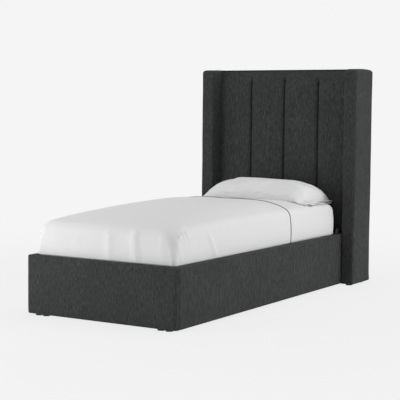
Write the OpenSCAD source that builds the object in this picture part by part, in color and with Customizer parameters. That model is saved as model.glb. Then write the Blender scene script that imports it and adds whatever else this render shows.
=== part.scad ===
// Single storage bed: padded rails, channelled headboard with two wings, and a platform that lifts
// on two hinge plates with gas struts. The foot is at -Y, the headboard at +Y, and Z is up.
// The origin is on the floor under the middle of the bed.

/* [Mattress] */
// Width of the mattress
mattress_w = 896; // [790:2:1100]
// Length of the mattress
mattress_l = 1990; // [1850:5:2100]
// Height of the mattress at its edge
mattress_h = 270; // [200:2:300]
// Rise of the mattress from its edge to its middle
mattress_crown = 45; // [10:1:45]
// Radius of the foot corners of the mattress at its top edge, seen from above
mattress_corner = 67; // [50:1:100]
// Radius of the head corners of the mattress, seen from above
head_corner = 50; // [30:1:100]
// Bulge of the mattress sides just above the rails
side_bulge = 10; // [0:0.5:10]
// Radius of the mattress along its top edge
mattress_edge = 55; // [45:1:70]

/* [Bedding] */
// Thickness of the fitted sheet
fitted_t = 1; // [0.8:0.1:2]
// Thickness of the top sheet
sheet_t = 1.2; // [0.8:0.1:2]
// Bare head end of the mattress, from the edge of the top sheet to the mattress end
sheet_back = 681; // [500:1:800]
// Height of the folds in the sides of the top sheet
fold_h = 1.6; // [0.5:0.1:2]
// Diameter of the piping on the edge of the top sheet
piping_d = 5; // [3:0.5:8]
// Width of the pillow over its two flaps
pillow_w = 820; // [600:5:840]
// Depth of the pillow
pillow_l = 480; // [350:5:500]
// Thickness of the pillow in its middle
pillow_h = 122; // [80:1:150]
// Shift of the pillow from the middle of the bed
pillow_shift = 25; // [-40:1:40]
// Width of the flap at each end of the pillow
pillow_flap = 50; // [30:1:70]

/* [Rails] */
// Height of the rails
rail_h = 330; // [300:5:380]
// Thickness of the rail boards
board_t = 30; // [22:1:36]
// Thickness of the padding outside the rail boards
rail_pad = 12; // [8:1:20]
// Thickness of the lining inside and on top of the rail boards
lining_t = 3; // [2:0.5:5]
// Radius of the outer top edge of the rail covers
rail_edge = 7; // [4:1:8]
// Radius of the upright foot corners of the foot cover
foot_corner = 22; // [14:1:26]
// Distance from the outside of the foot to the upright corner seams
foot_seam = 27; // [26:1:34]
// Gap between the mattress and the lining of the side rails
side_gap = 7; // [7:0.5:12]
// Gap between the mattress and the lining of the foot rail
foot_gap = 11; // [11:0.5:20]

/* [Headboard] */
// Height of the headboard above the floor
head_h = 1435; // [1200:5:1600]
// Gap between the mattress and the channels
head_gap = 85; // [80:1:120]
// Number of channels
channel_n = 4; // [3:1:4]
// Width of a middle channel
channel_w = 257; // [230:1:270]
// Depth of the seams between the channels
channel_d = 26; // [10:1:35]
// Thickness of the channel padding in its middle
channel_t = 52; // [45:1:70]
// Height of the plain border above the channels
border_h = 90; // [70:1:120]
// Thickness of the plywood face
ply_t = 12; // [9:1:18]
// Depth of the headboard frame
frame_t = 95; // [70:1:120]
// Width of the headboard posts
post_w = 70; // [50:1:90]
// Height of the headboard rails
head_rail_h = 30; // [20:1:50]
// Thickness of the padding on top of the headboard frame
top_pad = 28; // [20:1:40]
// Thickness of the back cloth
back_cloth_t = 2; // [1:0.5:4]

/* [Wings] */
// Thickness of a wing
wing_t = 90; // [60:1:120]
// Depth of a wing from front to back
wing_l = 275; // [230:1:320]
// Step from the back of the headboard frame to the back of the wing
wing_step = 10; // [4:1:20]
// Thickness of the board inside a wing
wing_board = 25; // [18:1:30]
// Padding round the edges of the wing board
wing_pad = 24; // [22:1:40]
// Radius of the upright edges of a wing
wing_edge = 17; // [10:1:22]
// Radius of the top corners of a wing, seen from the side
wing_corner = 30; // [20:1:60]
// Radius of the slight arch along the top of a wing
wing_arch = 1900; // [1200:50:4000]

/* [Platform] */
// Drop from the top of the rails to the top of the platform tubes
platform_drop = 75; // [70:1:100]
// Width of the platform tubes
tube_w = 25; // [20:1:30]
// Height of the platform tubes
tube_h = 30; // [25:1:40]
// Wall of the platform tubes
tube_wall = 2; // [1.5:0.5:3]
// Gap between the platform tubes and the lining of the side rails
tube_gap = 9; // [8.5:0.5:12]
// Number of slats
slat_n = 14; // [10:1:16]
// Width of a slat
slat_w = 63; // [50:1:70]
// Thickness of a slat
slat_t = 8; // [6:1:10]
// Rise of a slat from its ends to its middle
slat_bow = 3; // [1:0.5:6]
// Thickness of the pull strap
strap_t = 2; // [1:0.5:3]
// Width of the pull strap
strap_w = 40; // [25:1:60]

/* [Mechanism] */
// Distance from the mattress end to the hinge pin
hinge_back = 29; // [29:1:35]
// Height of the hinge pin above the rails
hinge_rise = 10; // [5:1:20]
// Radius of the hinge pins
hinge_r = 6; // [5:0.5:8]
// Running clearance on the radius of each pin
pin_clear = 0.05; // [0.02:0.01:0.1]
// Thickness of the hinge plates
plate_t = 3; // [2.5:0.5:3]
// Thickness of the lift arms
arm_t = 4; // [3:0.5:4]
// Radius of the strut pins
strut_pin_r = 5; // [4:0.5:6]
// Radius of the strut cylinders
strut_r = 10; // [8:0.5:11]
// Radius of the strut rods
rod_r = 4; // [3:0.5:5]
// Length of the strut cylinders
strut_body = 200; // [170:5:210]
// Opened clearance on the radius of the rod eyes
eye_clear = 2.8; // [2.6:0.1:3.2]
// Distance from the hinge pin down to the lower strut pin
strut_low = 290; // [270:1:295]
// Distance from the hinge pin forward to the lower strut pin
strut_in = 15; // [5:1:20]
// Distance from the hinge pin forward to the rod pin
rod_in = 375; // [365:1:385]
// Distance from the hinge pin down to the rod pin
rod_low = 135; // [133:0.5:138]

/* [Fittings] */
// Height of the glides
glide_h = 10; // [6:1:20]
// Radius of the glides
glide_r = 21; // [15:1:24]
// Radius of the bolts
bolt_r = 4; // [3:0.5:5]
// Clearance on the radius of the bolt holes
bolt_clear = 0.1; // [0.05:0.05:0.3]
// Width of the battens
batten_w = 24; // [18:1:24]
// Height of the battens
batten_h = 24; // [18:1:24]
// Thickness of the floor panels
floor_t = 6; // [4:1:8]
// Gap between soft pieces and what they lie on
soft_gap = 0.3; // [0.2:0.1:0.5]
// Gap between rigid pieces that rest on each other
seat_gap = 0.3; // [0.2:0.1:0.5]

/* [Hidden] */
$fn = 48;
big = 5000;

// Stations across the bed, from the middle outwards
mattress_x = mattress_w / 2;
lining_x = mattress_x + side_gap;
board_in_x = lining_x + lining_t;
board_out_x = board_in_x + board_t;
bed_x = board_out_x + rail_pad;
bed_w = 2 * bed_x;
wing_x = bed_x + wing_t / 2;
plate_x = lining_x - plate_t;
tube_out_x = lining_x - tube_gap;
tube_in_x = tube_out_x - tube_w;
arm_out_x = tube_out_x + arm_t;
strut_side = 12;
strut_x = tube_out_x - strut_side;
eye_t = 10;

// Stations along the bed, from the outside of the foot
rail_t = rail_pad + board_t + lining_t;
mattress_y0 = rail_t + foot_gap;
mattress_y1 = mattress_y0 + mattress_l;
mattress_yc = mattress_y0 + mattress_l / 2;
crown_y = mattress_y1 + head_gap;
ply_y = crown_y + channel_t;
frame_y0 = ply_y + ply_t;
frame_y1 = frame_y0 + frame_t;
bed_l = frame_y1 + wing_step;
wing_y0 = bed_l - wing_l;
sheet_y = mattress_y1 - sheet_back;
strap_gap = 6.5;
strap_y = mattress_y0 - strap_gap;
tube_y0 = strap_y + strap_t;
tube_back = 16;
tube_y1 = mattress_y1 - tube_back;
head_board_y = frame_y0 - tube_w;

// Heights above the floor
rail_z = glide_h + rail_h;
tube_z1 = rail_z - platform_drop;
tube_z0 = tube_z1 - tube_h;
cap_floor = 3;
slat_z = tube_z1 + cap_floor;
mattress_z = slat_z + slat_t + slat_bow + soft_gap;
edge_z = mattress_z + mattress_h;
pad_rise = 5;
pad_z0 = rail_z + pad_rise;
pad_z1 = head_h - border_h;
top_drop = 2;
frame_z1 = head_h - top_pad - top_drop;
stop_t = 5.7;
ledge_z = tube_z0 - seat_gap - stop_t;
floor_z = glide_h + batten_h;

// Hinge pin, lower strut pin and rod pin, as [y, z]
hinge = [mattress_y1 + hinge_back, rail_z + hinge_rise];
strut_pin = [hinge.x - strut_in, hinge.y - strut_low];
rod_pin = [hinge.x - rod_in, hinge.y - rod_low];
strut_run = rod_pin - strut_pin;
strut_l = norm(strut_run);
strut_turn = atan2(-strut_run.x, strut_run.y);
plate_r = 24;
arm_r = 21;
arm_leg = 22;
strut_eye_r = 12;
pin_head_t = 2;
pin_gap = 0.6;
eye_side = 1;
small = 1;

charcoal = "#46494a";
dark_cloth = "#353738";
timber = "#c9a878";
steel = "#8c9094";
black = "#202224";
white = "#e6e6e6";

// Helpers

// Moves a piece from stations along the bed to the frame of the whole
module bed() {
    translate([0, -bed_l / 2, 0]) children();
}

// A box from its lowest to its highest corner
module block(low, high) {
    translate(low) cube(high - low);
}

// A rectangle with round corners, from its lowest corner
module round_rect(size, r) {
    translate([r, 0]) square([size.x - 2 * r, size.y]);
    translate([0, r]) square([size.x, size.y - 2 * r]);
    for (x = [r, size.x - r], y = [r, size.y - r]) translate([x, y]) circle(r);
}

// A plate drawn in the plane of Y and Z, from x0 to x1
module side_plate(x0, x1) {
    translate([x0, 0, 0]) rotate([90, 0, 90]) linear_extrude(x1 - x0) children();
}

// A profile drawn in X and Z, from y0 to y1
module along(y0, y1) {
    translate([0, y1, 0]) rotate([90, 0, 0]) linear_extrude(y1 - y0) children();
}

// A round bar along X, from x0 to x1, at [y, z]
module cross_bar(r, x0, x1, at, fn = 48) {
    translate([x0, at.x, at.y]) rotate([0, 90, 0]) cylinder(r = r, h = x1 - x0, $fn = fn);
}

// A round bar along Y, from y0 to y1, at [x, z]
module long_bar(r, y0, y1, at, fn = 48) {
    translate([at.x, y1, at.y]) rotate([90, 0, 0]) cylinder(r = r, h = y1 - y0, $fn = fn);
}

module both_sides() {
    children();
    mirror([1, 0, 0]) children();
}

// A closed solid through a stack of rings with equally many points
module ring_stack(rings) {
    n = len(rings[0]);
    m = len(rings);
    points = [for (ring = rings) each ring, centre(rings[0]), centre(rings[m - 1])];
    walls = [for (j = [0:m - 2], i = [0:n - 1]) let (
        a = j * n + i, b = j * n + (i + 1) % n, c = b + n, d = a + n) each [[a, c, b], [a, d, c]]];
    low = [for (i = [0:n - 1]) [m * n, i, (i + 1) % n]];
    high = [for (i = [0:n - 1]) [m * n + 1, (m - 1) * n + (i + 1) % n, (m - 1) * n + i]];
    polyhedron(concat(points), concat(walls, low, high));
}

function centre(ring) = [for (k = [0:2]) let (c = [for (p = ring) p[k]]) (min(c) + max(c)) / 2];

// A round tube of n sides along a path
module tube_along(path, r, n = 8) {
    m = len(path);
    rings = [for (j = [0:m - 1]) let (
        dir = unit(path[min(j + 1, m - 1)] - path[max(j - 1, 0)]),
        side = [0, 1, 0],
        up = cross(dir, side)
    ) [for (i = [0:n - 1]) path[j] + r * (cos(360 * i / n) * side + sin(360 * i / n) * up)]];
    ring_stack(rings);
}

function unit(v) = v / norm(v);

// Rails

// Profile of a rail cover, from the lining face at x = 0 to the padding's face
module cover_profile() {
    difference() {
        union() {
            translate([0, glide_h]) square([rail_t - rail_edge, rail_h]);
            translate([0, glide_h]) square([rail_t, rail_h - rail_edge]);
            translate([rail_t - rail_edge, rail_z - rail_edge]) circle(rail_edge);
        }
        translate([lining_t, 0]) square([board_t, rail_z - lining_t]);
    }
}

// Bolt holes and bolts share these places
bracket_z = [90, 170];
bracket_leg = 50;
bracket_z0 = 60;
bracket_z1 = 200;
bolt_head_t = 5;
bolt_head_r = 6.5;
bolt_reach = 24;
bolt_place = 0.6 * bracket_leg;

module foot_corner_bolts(r, head) {
    for (z = bracket_z) {
        at = [rail_t + bolt_place, z];
        cross_bar(r, plate_x, board_in_x + bolt_reach, at);
        if (head) cross_bar(bolt_head_r, plate_x - bolt_head_t, plate_x, at, 6);
        x = lining_x - bolt_place;
        long_bar(r, rail_pad + board_t - bolt_reach, rail_t + plate_t, [x, z]);
        if (head) long_bar(bolt_head_r, rail_t + plate_t, rail_t + plate_t + bolt_head_t, [x, z], 6);
    }
}

module head_corner_bolts(r, head) {
    for (z = bracket_z) {
        at = [head_board_y - bolt_place, z];
        cross_bar(r, plate_x, board_in_x + bolt_reach, at);
        if (head) cross_bar(bolt_head_r, plate_x - bolt_head_t, plate_x, at, 6);
        x = lining_x - bolt_place;
        long_bar(r, head_board_y - plate_t, frame_y0 + bolt_reach, [x, z]);
        if (head) long_bar(bolt_head_r, head_board_y - plate_t - bolt_head_t, head_board_y - plate_t,
            [x, z], 6);
    }
}

screw_head_r = 7;
screw_head_t = 2;
screw_z = [110, 200, 290];
screw_dy = 14;
screw_sink = 0.2;

module hinge_plate_screws(r, head_r) {
    for (z = screw_z, dy = [-screw_dy, screw_dy]) {
        at = [hinge.x + dy, z];
        cross_bar(r, plate_x + screw_head_t - screw_sink, board_in_x + bolt_reach, at);
        cross_bar(head_r, plate_x, plate_x + screw_head_t, at);
    }
}

wing_bolt_z = [220, 700, 1200];
wing_bolt_share = 0.45;
wing_bolt_y = frame_y0 + frame_t * wing_bolt_share;
wing_bolt_end = 5;

module wing_fixings(r, head) {
    for (z = wing_bolt_z) {
        at = [wing_bolt_y, z];
        cross_bar(r, bed_x - post_w, wing_x + wing_board / 2 - wing_bolt_end, at);
        if (head) cross_bar(bolt_head_r, bed_x - post_w - bolt_head_t, bed_x - post_w, at, 6);
    }
}

module side_rail() {
    difference() {
        block([board_in_x, rail_pad + board_t, glide_h], [board_out_x, frame_y0, rail_z - lining_t]);
        foot_corner_bolts(bolt_r + bolt_clear, false);
        head_corner_bolts(bolt_r + bolt_clear, false);
        hinge_plate_screws(bolt_r + bolt_clear, bolt_r);
    }
}

module side_rail_left() {
    color(timber) bed() mirror([1, 0, 0]) side_rail();
}

module side_rail_right() {
    color(timber) bed() side_rail();
}

module foot_rail() {
    color(timber) bed() difference() {
        block([-board_out_x, rail_pad, glide_h], [board_out_x, rail_pad + board_t, rail_z - lining_t]);
        both_sides() foot_corner_bolts(bolt_r + bolt_clear, false);
    }
}

head_rail_rise = 4;
head_rail_drop = 10;

module head_rail() {
    color(timber) bed() difference() {
        block([-lining_x, head_board_y, floor_z - batten_h + head_rail_rise],
            [lining_x, frame_y0, rail_z - head_rail_drop]);
        both_sides() head_corner_bolts(bolt_r + bolt_clear, false);
    }
}

module rail_boards() {
    block([-board_out_x, rail_pad, 0], [board_out_x, rail_pad + board_t, rail_z - lining_t]);
    both_sides() block([board_in_x, rail_pad, 0], [board_out_x, frame_y0, rail_z - lining_t]);
}

module rail_cover() {
    difference() {
        intersection() {
            along(0, frame_y0) translate([lining_x, 0]) cover_profile();
            linear_extrude(big) polygon([[bed_x, foot_seam], [bed_x, frame_y0], [lining_x, frame_y0],
                [lining_x, rail_t], [board_out_x, foot_seam]]);
        }
        rail_boards();
        foot_corner_bolts(bolt_r + bolt_clear, false);
        head_corner_bolts(bolt_r + bolt_clear, false);
        hinge_plate_screws(bolt_r + bolt_clear, bolt_r);
    }
}

module rail_cover_left() {
    color(charcoal) bed() mirror([1, 0, 0]) rail_cover();
}

module rail_cover_right() {
    color(charcoal) bed() rail_cover();
}

// Half of a profile that is as wide as the bed, with its round top edge
module bed_profile(half) {
    translate([-half, glide_h]) square([2 * half, rail_h - rail_edge]);
    translate([rail_edge - half, glide_h]) square([2 * (half - rail_edge), rail_h]);
    for (x = [rail_edge - half, half - rail_edge]) translate([x, rail_z - rail_edge]) circle(rail_edge);
}

// The foot cover goes round the foot corners to the corner seams
module foot_cover() {
    color(charcoal) bed() difference() {
        intersection() {
            along(0, rail_t) bed_profile(bed_x);
            side_plate(-bed_x, bed_x) translate([bed_x, 0]) bed_profile(bed_x);
            linear_extrude(big) translate([-bed_x, 0]) round_rect([bed_w, bed_l], foot_corner);
            linear_extrude(big) polygon([[-bed_x, 0], [bed_x, 0], [bed_x, foot_seam],
                [board_out_x, foot_seam], [lining_x, rail_t], [-lining_x, rail_t],
                [-board_out_x, foot_seam], [-bed_x, foot_seam]]);
        }
        rail_boards();
        both_sides() foot_corner_bolts(bolt_r + bolt_clear, false);
    }
}

module foot_bracket() {
    difference() {
        union() {
            block([plate_x, rail_t, bracket_z0], [lining_x, rail_t + bracket_leg, bracket_z1]);
            block([lining_x - bracket_leg, rail_t, bracket_z0], [lining_x, rail_t + plate_t, bracket_z1]);
        }
        foot_corner_bolts(bolt_r + bolt_clear, false);
    }
}

module corner_brackets() {
    color(steel) bed() both_sides() foot_bracket();
}

module corner_bolts() {
    color(steel) bed() both_sides() foot_corner_bolts(bolt_r, true);
}

module head_bracket() {
    difference() {
        union() {
            block([plate_x, head_board_y - bracket_leg, bracket_z0], [lining_x, head_board_y, bracket_z1]);
            block([lining_x - bracket_leg, head_board_y - plate_t, bracket_z0],
                [lining_x, head_board_y, bracket_z1]);
        }
        head_corner_bolts(bolt_r + bolt_clear, false);
    }
}

module head_brackets() {
    color(steel) bed() both_sides() head_bracket();
}

module head_bolts() {
    color(steel) bed() both_sides() head_corner_bolts(bolt_r, true);
}

// Storage box

floor_split = (rail_t + head_board_y) / 2;

module floor_battens() {
    color(timber) bed() {
        both_sides() block([lining_x - batten_w, rail_t, glide_h], [lining_x, head_board_y, floor_z]);
        block([batten_w - lining_x, floor_split - batten_w, glide_h],
            [lining_x - batten_w, floor_split + batten_w, floor_z]);
    }
}

module floor_panel(y0, y1) {
    block([seat_gap - lining_x, y0 + seat_gap, floor_z],
        [lining_x - seat_gap, y1 - seat_gap, floor_z + floor_t]);
}

module floor_panel_foot() {
    color(dark_cloth) bed() floor_panel(rail_t, floor_split);
}

module floor_panel_head() {
    color(dark_cloth) bed() floor_panel(floor_split, head_board_y);
}

ledge_stop = 90;
ledge_y1 = rod_pin.x - ledge_stop;
ledge_y0 = rail_t + bracket_leg;

module platform_battens() {
    color(timber) bed() both_sides()
        block([lining_x - batten_w, ledge_y0, ledge_z - batten_h], [lining_x, ledge_y1, ledge_z]);
}

stop_places = [0.06, 0.5, 0.94];
stop_in = 10;
stop_r = 9;

module stop_pads() {
    color(black) bed() both_sides() for (f = stop_places)
        translate([tube_out_x - stop_in, ledge_y0 + f * (ledge_y1 - ledge_y0), ledge_z])
            cylinder(r = stop_r, h = stop_t);
}

glide_in = 20;
glide_step = 50;
glide_back = 6;
wing_glide_in = 18;
wing_glide_share = 0.4;

// Glides stand under the foot rail and under the wing boards
module glides() {
    color(black) bed() both_sides() {
        for (x = [lining_x - glide_in, lining_x - glide_in - glide_step])
            translate([x, rail_pad + board_t / 2 + glide_back, 0]) cylinder(r = glide_r, h = glide_h);
        for (y = [wing_y0 + wing_pad + wing_glide_in, frame_y0 + frame_t * wing_glide_share])
            translate([wing_x, y, 0]) cylinder(r = glide_r, h = glide_h);
    }
}

// Hinges and struts

plate_foot = 10;
pin_reach = 3;
hinge_head = 4;
strut_head = 3;
washer_wall = 7;

module hinge_plate() {
    difference() {
        union() {
            side_plate(plate_x, lining_x) {
                translate(hinge) circle(plate_r);
                translate([hinge.x - plate_r, strut_pin.y - plate_foot])
                    square([2 * plate_r, hinge.y - strut_pin.y + plate_foot]);
            }
            cross_bar(hinge_r, tube_out_x - pin_reach, plate_x, hinge);
            cross_bar(hinge_r + hinge_head, tube_out_x - pin_reach - pin_head_t, tube_out_x - pin_gap, hinge);
            cross_bar(strut_pin_r, strut_x - eye_t / 2 - eye_side, plate_x, strut_pin);
            cross_bar(strut_pin_r + strut_head, strut_x - eye_t / 2 - eye_side - pin_head_t,
                strut_x - eye_t / 2 - pin_gap, strut_pin);
            cross_bar(strut_pin_r + strut_head, strut_x + eye_t / 2 + pin_gap, plate_x, strut_pin);
        }
        hinge_plate_screws(bolt_r + bolt_clear, screw_head_r + bolt_clear);
    }
}

module hinge_plate_left() {
    color(steel) bed() mirror([1, 0, 0]) hinge_plate();
}

module hinge_plate_right() {
    color(steel) bed() hinge_plate();
}

module hinge_screws() {
    color(steel) bed() both_sides() hinge_plate_screws(bolt_r, screw_head_r);
}

module hinge_washers() {
    color(black) bed() both_sides() difference() {
        cross_bar(hinge_r + washer_wall, arm_out_x + seat_gap, plate_x, hinge);
        cross_bar(hinge_r + pin_clear, arm_out_x, plate_x + small, hinge);
    }
}

// Points along a strut, from the lower pin, with the strut upright
module on_strut(x) {
    translate([x, strut_pin.x, strut_pin.y]) rotate([strut_turn, 0, 0]) children();
}

module strut_eye(r, bore) {
    rotate([0, 90, 0]) difference() {
        cylinder(r = r, h = eye_t, center = true);
        cylinder(r = bore, h = eye_t + 2 * small, center = true);
    }
}

strut_wall = 1.5;
gland_t = 8;
neck_r = 4.5;
neck_l = 6;
body_s = strut_eye_r + 4;
end_wall = 8;

module strut_cylinder() {
    on_strut(strut_x) difference() {
        union() {
            strut_eye(strut_eye_r, strut_pin_r + pin_clear);
            translate([0, 0, strut_eye_r - small]) cylinder(r = neck_r, h = neck_l);
            translate([0, 0, body_s]) cylinder(r = strut_r, h = strut_body);
        }
        translate([0, 0, body_s + end_wall])
            cylinder(r = strut_r - strut_wall, h = strut_body - end_wall - gland_t);
        translate([0, 0, body_s + end_wall]) cylinder(r = rod_r + pin_clear, h = strut_body);
    }
}

module strut_cylinder_left() {
    color(black) bed() mirror([1, 0, 0]) strut_cylinder();
}

module strut_cylinder_right() {
    color(black) bed() strut_cylinder();
}

piston_room = 8;
piston_s = body_s + end_wall + piston_room;
piston_l = 10;
eye_wall = 4.5;
rod_eye_r = strut_pin_r + eye_clear + eye_wall;

module strut_rod() {
    on_strut(strut_x) {
        translate([0, 0, piston_s]) cylinder(r = strut_r - strut_wall - pin_clear, h = piston_l);
        difference() {
            translate([0, 0, piston_s]) cylinder(r = rod_r, h = strut_l - piston_s);
            translate([0, 0, strut_l]) strut_hole();
        }
        translate([0, 0, strut_l]) strut_eye(rod_eye_r, strut_pin_r + eye_clear);
    }
}

module strut_hole() {
    rotate([0, 90, 0]) cylinder(r = strut_pin_r + eye_clear, h = 3 * eye_t, center = true);
}

module strut_rod_left() {
    color(steel) bed() mirror([1, 0, 0]) strut_rod();
}

module strut_rod_right() {
    color(steel) bed() strut_rod();
}

// Headboard

module headboard_post() {
    difference() {
        block([bed_x - post_w, frame_y0, glide_h], [bed_x, frame_y1, frame_z1]);
        wing_fixings(bolt_r + bolt_clear, false);
        head_corner_bolts(bolt_r + bolt_clear, false);
    }
}

module headboard_post_left() {
    color(timber) bed() mirror([1, 0, 0]) headboard_post();
}

module headboard_post_right() {
    color(timber) bed() headboard_post();
}

module frame_rail(z) {
    block([post_w - bed_x, frame_y0, z], [bed_x - post_w, frame_y1, z + head_rail_h]);
}

module headboard_top_rail() {
    color(timber) bed() frame_rail(frame_z1 - head_rail_h);
}

module headboard_middle_rail() {
    color(timber) bed() frame_rail((pad_z0 + frame_z1 - head_rail_h) / 2);
}

module headboard_bottom_rail() {
    color(timber) bed() frame_rail(pad_z0);
}

module headboard_ply() {
    color(timber) bed() block([-bed_x, ply_y, pad_z0], [bed_x, frame_y0, frame_z1]);
}

// Front of a channel at t = -1 to 1 across it: a flat crown, and a tight seam at a gap from the place
crown_share = 0.3;
seam_half = 6;

function channel_front(t, gap, depth) = crown_y
    + depth * (crown_share * pow(abs(t), 3.5) + (1 - crown_share) * exp(-pow(gap / seam_half, 1.4)));

// The seams fade out below the border
fade_h = 75;
fade_levels = [0, 20, 40, 60, fade_h];
fade_low = 0.2;

function seam_depth(z) = channel_d * (z > pad_z1 - fade_h
    ? fade_low + (1 - fade_low) * pow((pad_z1 - z) / fade_h, 0.8) : 1);

// The outer channels have no seam beside the wings
module channel_pad(x0, x1) {
    steps = 16;
    half = (x1 - x0) / 2;
    levels = concat([pad_z0], [for (i = [4:-1:0]) pad_z1 - fade_levels[i]]);
    rings = [for (z = levels) concat(
        [for (i = [0:steps]) let (
            t = sin(90 * (2 * i / steps - 1)),
            outer = x0 == -bed_x && t < 0 || x1 == bed_x && t > 0,
            gap = outer ? half : half * (1 - abs(t)))
            [x0 + half * (t + 1), channel_front(outer ? 0 : t, gap, seam_depth(z)), z]],
        [[x1, ply_y, z], [x0, ply_y, z]])];
    ring_stack(rings);
}

// Seam stations: the two outer channels reach to the wings
function seam_x(i) = i == 0 ? -bed_x : i == channel_n ? bed_x : (i - channel_n / 2) * channel_w;

module channel(i) {
    if (i < channel_n) color(charcoal) bed() channel_pad(seam_x(i), seam_x(i + 1));
}

module channel_pad_1() {
    channel(0);
}

module channel_pad_2() {
    channel(1);
}

module channel_pad_3() {
    channel(2);
}

module channel_pad_4() {
    channel(3);
}

border_front_r = 22;
border_back_r = 6;
border_back = 8;
border_t = frame_y1 + border_back - crown_y;
border_z1 = head_h - top_drop;
back_cloth_z0 = 20;

module headboard_border() {
    color(charcoal) bed() side_plate(-bed_x, bed_x) difference() {
        union() {
            translate([crown_y, pad_z1]) square([border_t, border_z1 - pad_z1 - border_front_r]);
            translate([crown_y + border_front_r, pad_z1])
                square([border_t - border_front_r - border_back_r, border_z1 - pad_z1]);
            translate([frame_y1, pad_z1]) square([border_back, border_z1 - pad_z1 - border_back_r]);
            translate([crown_y + border_front_r, border_z1 - border_front_r]) circle(border_front_r);
            translate([crown_y + border_t - border_back_r, border_z1 - border_back_r]) circle(border_back_r);
        }
        translate([ply_y, 0]) square([frame_y1 - ply_y, frame_z1]);
    }
}

module headboard_back_cloth() {
    color(dark_cloth) bed()
        block([-bed_x, frame_y1, back_cloth_z0], [bed_x, frame_y1 + back_cloth_t, pad_z1]);
}

// Wings

module wing_board() {
    difference() {
        block([wing_x - wing_board / 2, wing_y0 + wing_pad, glide_h],
            [wing_x + wing_board / 2, bed_l - wing_pad, head_h - wing_pad]);
        wing_fixings(bolt_r + bolt_clear, false);
    }
}

module wing_board_left() {
    color(timber) bed() mirror([1, 0, 0]) wing_board();
}

module wing_board_right() {
    color(timber) bed() wing_board();
}

module wing_cover() {
    difference() {
        intersection() {
            translate([bed_x, wing_y0, glide_h]) linear_extrude(head_h - glide_h)
                round_rect([wing_t, wing_l], wing_edge);
            along(wing_y0 - small, bed_l + small) translate([bed_x, -wing_edge])
                round_rect([wing_t, head_h + wing_edge], wing_edge);
            side_plate(bed_x - small, bed_x + wing_t + small) intersection() {
                translate([wing_y0, -wing_corner]) round_rect([wing_l, head_h + wing_corner], wing_corner);
                translate([wing_y0 + wing_l / 2, head_h - wing_arch]) circle(wing_arch, $fn = 360);
            }
        }
        block([wing_x - wing_board / 2, wing_y0 + wing_pad, 0],
            [wing_x + wing_board / 2, bed_l - wing_pad, head_h - wing_pad]);
        wing_fixings(bolt_r + bolt_clear, false);
    }
}

module wing_cover_left() {
    color(charcoal) bed() mirror([1, 0, 0]) wing_cover();
}

module wing_cover_right() {
    color(charcoal) bed() wing_cover();
}

module wing_bolts() {
    color(steel) bed() both_sides() wing_fixings(bolt_r, true);
}

// Platform

arm_bolt_out = 38;
arm_bolt_in = 140;
arm_bolt_end = 30;
arm_bolt_y = [rod_pin.x - arm_bolt_out, rod_pin.x + arm_bolt_in, tube_y1 - arm_bolt_end];
arm_bolt_l = tube_w - 6;
arm_head_t = 2.5;
arm_head_r = 8;

module arm_fixings(r, head) {
    for (y = arm_bolt_y) {
        at = [y, (tube_z0 + tube_z1) / 2];
        cross_bar(r, tube_out_x - arm_bolt_l, arm_out_x, at);
        if (head) cross_bar(arm_head_r, arm_out_x, arm_out_x + arm_head_t, at);
    }
}

module platform_tube() {
    difference() {
        block([tube_in_x, tube_y0, tube_z0], [tube_out_x, tube_y1, tube_z1]);
        block([tube_in_x + tube_wall, tube_y0 - small, tube_z0 + tube_wall],
            [tube_out_x - tube_wall, tube_y1 + small, tube_z1 - tube_wall]);
        arm_fixings(bolt_r + bolt_clear, false);
    }
}

module platform_tube_left() {
    color(black) bed() mirror([1, 0, 0]) platform_tube();
}

module platform_tube_right() {
    color(black) bed() platform_tube();
}

module cross_tube(y) {
    difference() {
        block([-tube_in_x, y, tube_z0], [tube_in_x, y + tube_w, tube_z1]);
        block([-tube_in_x - small, y + tube_wall, tube_z0 + tube_wall],
            [tube_in_x + small, y + tube_w - tube_wall, tube_z1 - tube_wall]);
    }
}

module platform_head_tube() {
    color(black) bed() cross_tube(tube_y1 - tube_w);
}

module platform_middle_tube() {
    color(black) bed() cross_tube((tube_y0 + tube_y1 - tube_w) / 2);
}

module platform_foot_tube() {
    color(black) bed() cross_tube(tube_y0);
}

arm_end = 60;
arm_y0 = rod_pin.x - arm_end;
arm_below = 4;
arm_low = tube_z0 - arm_below;

module lift_arm() {
    difference() {
        union() {
            side_plate(tube_out_x, arm_out_x) {
                translate(hinge) circle(arm_r);
                translate([hinge.x - arm_r, arm_low]) square([2 * arm_r, hinge.y - arm_low]);
                translate([arm_y0, arm_low]) square([hinge.x + arm_r - arm_y0, tube_h + arm_below]);
                translate(rod_pin) circle(arm_leg);
                translate([rod_pin.x - arm_leg, rod_pin.y]) square([2 * arm_leg, tube_z0 - rod_pin.y]);
            }
            cross_bar(strut_pin_r, strut_x - eye_t / 2 - eye_side, tube_out_x, rod_pin);
            cross_bar(strut_pin_r + eye_clear + strut_head, strut_x - eye_t / 2 - eye_side - pin_head_t,
                strut_x - eye_t / 2 - pin_gap, rod_pin);
        }
        cross_bar(hinge_r + pin_clear, tube_out_x - small, arm_out_x + small, hinge);
        arm_fixings(bolt_r + bolt_clear, false);
    }
}

module lift_arm_left() {
    color(steel) bed() mirror([1, 0, 0]) lift_arm();
}

module lift_arm_right() {
    color(steel) bed() lift_arm();
}

module arm_bolts() {
    color(steel) bed() both_sides() arm_fixings(bolt_r, true);
}

cap_wall = 2.5;
cap_in = 30;
slat_clear = 0.2;
cap_back = 3;
cap_room = 0.6;
slat_x = tube_out_x - cap_back - cap_wall;
slat_start = 60;

function slat_y(i) = tube_y0 + slat_start + i * (tube_y1 - tube_y0 - 2 * slat_start) / (slat_n - 1);

// A slat bows up in an arc through its two ends and its middle
slat_steps = 16;

function slat_rise(t) = slat_bow * (1 - t * t);

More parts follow.
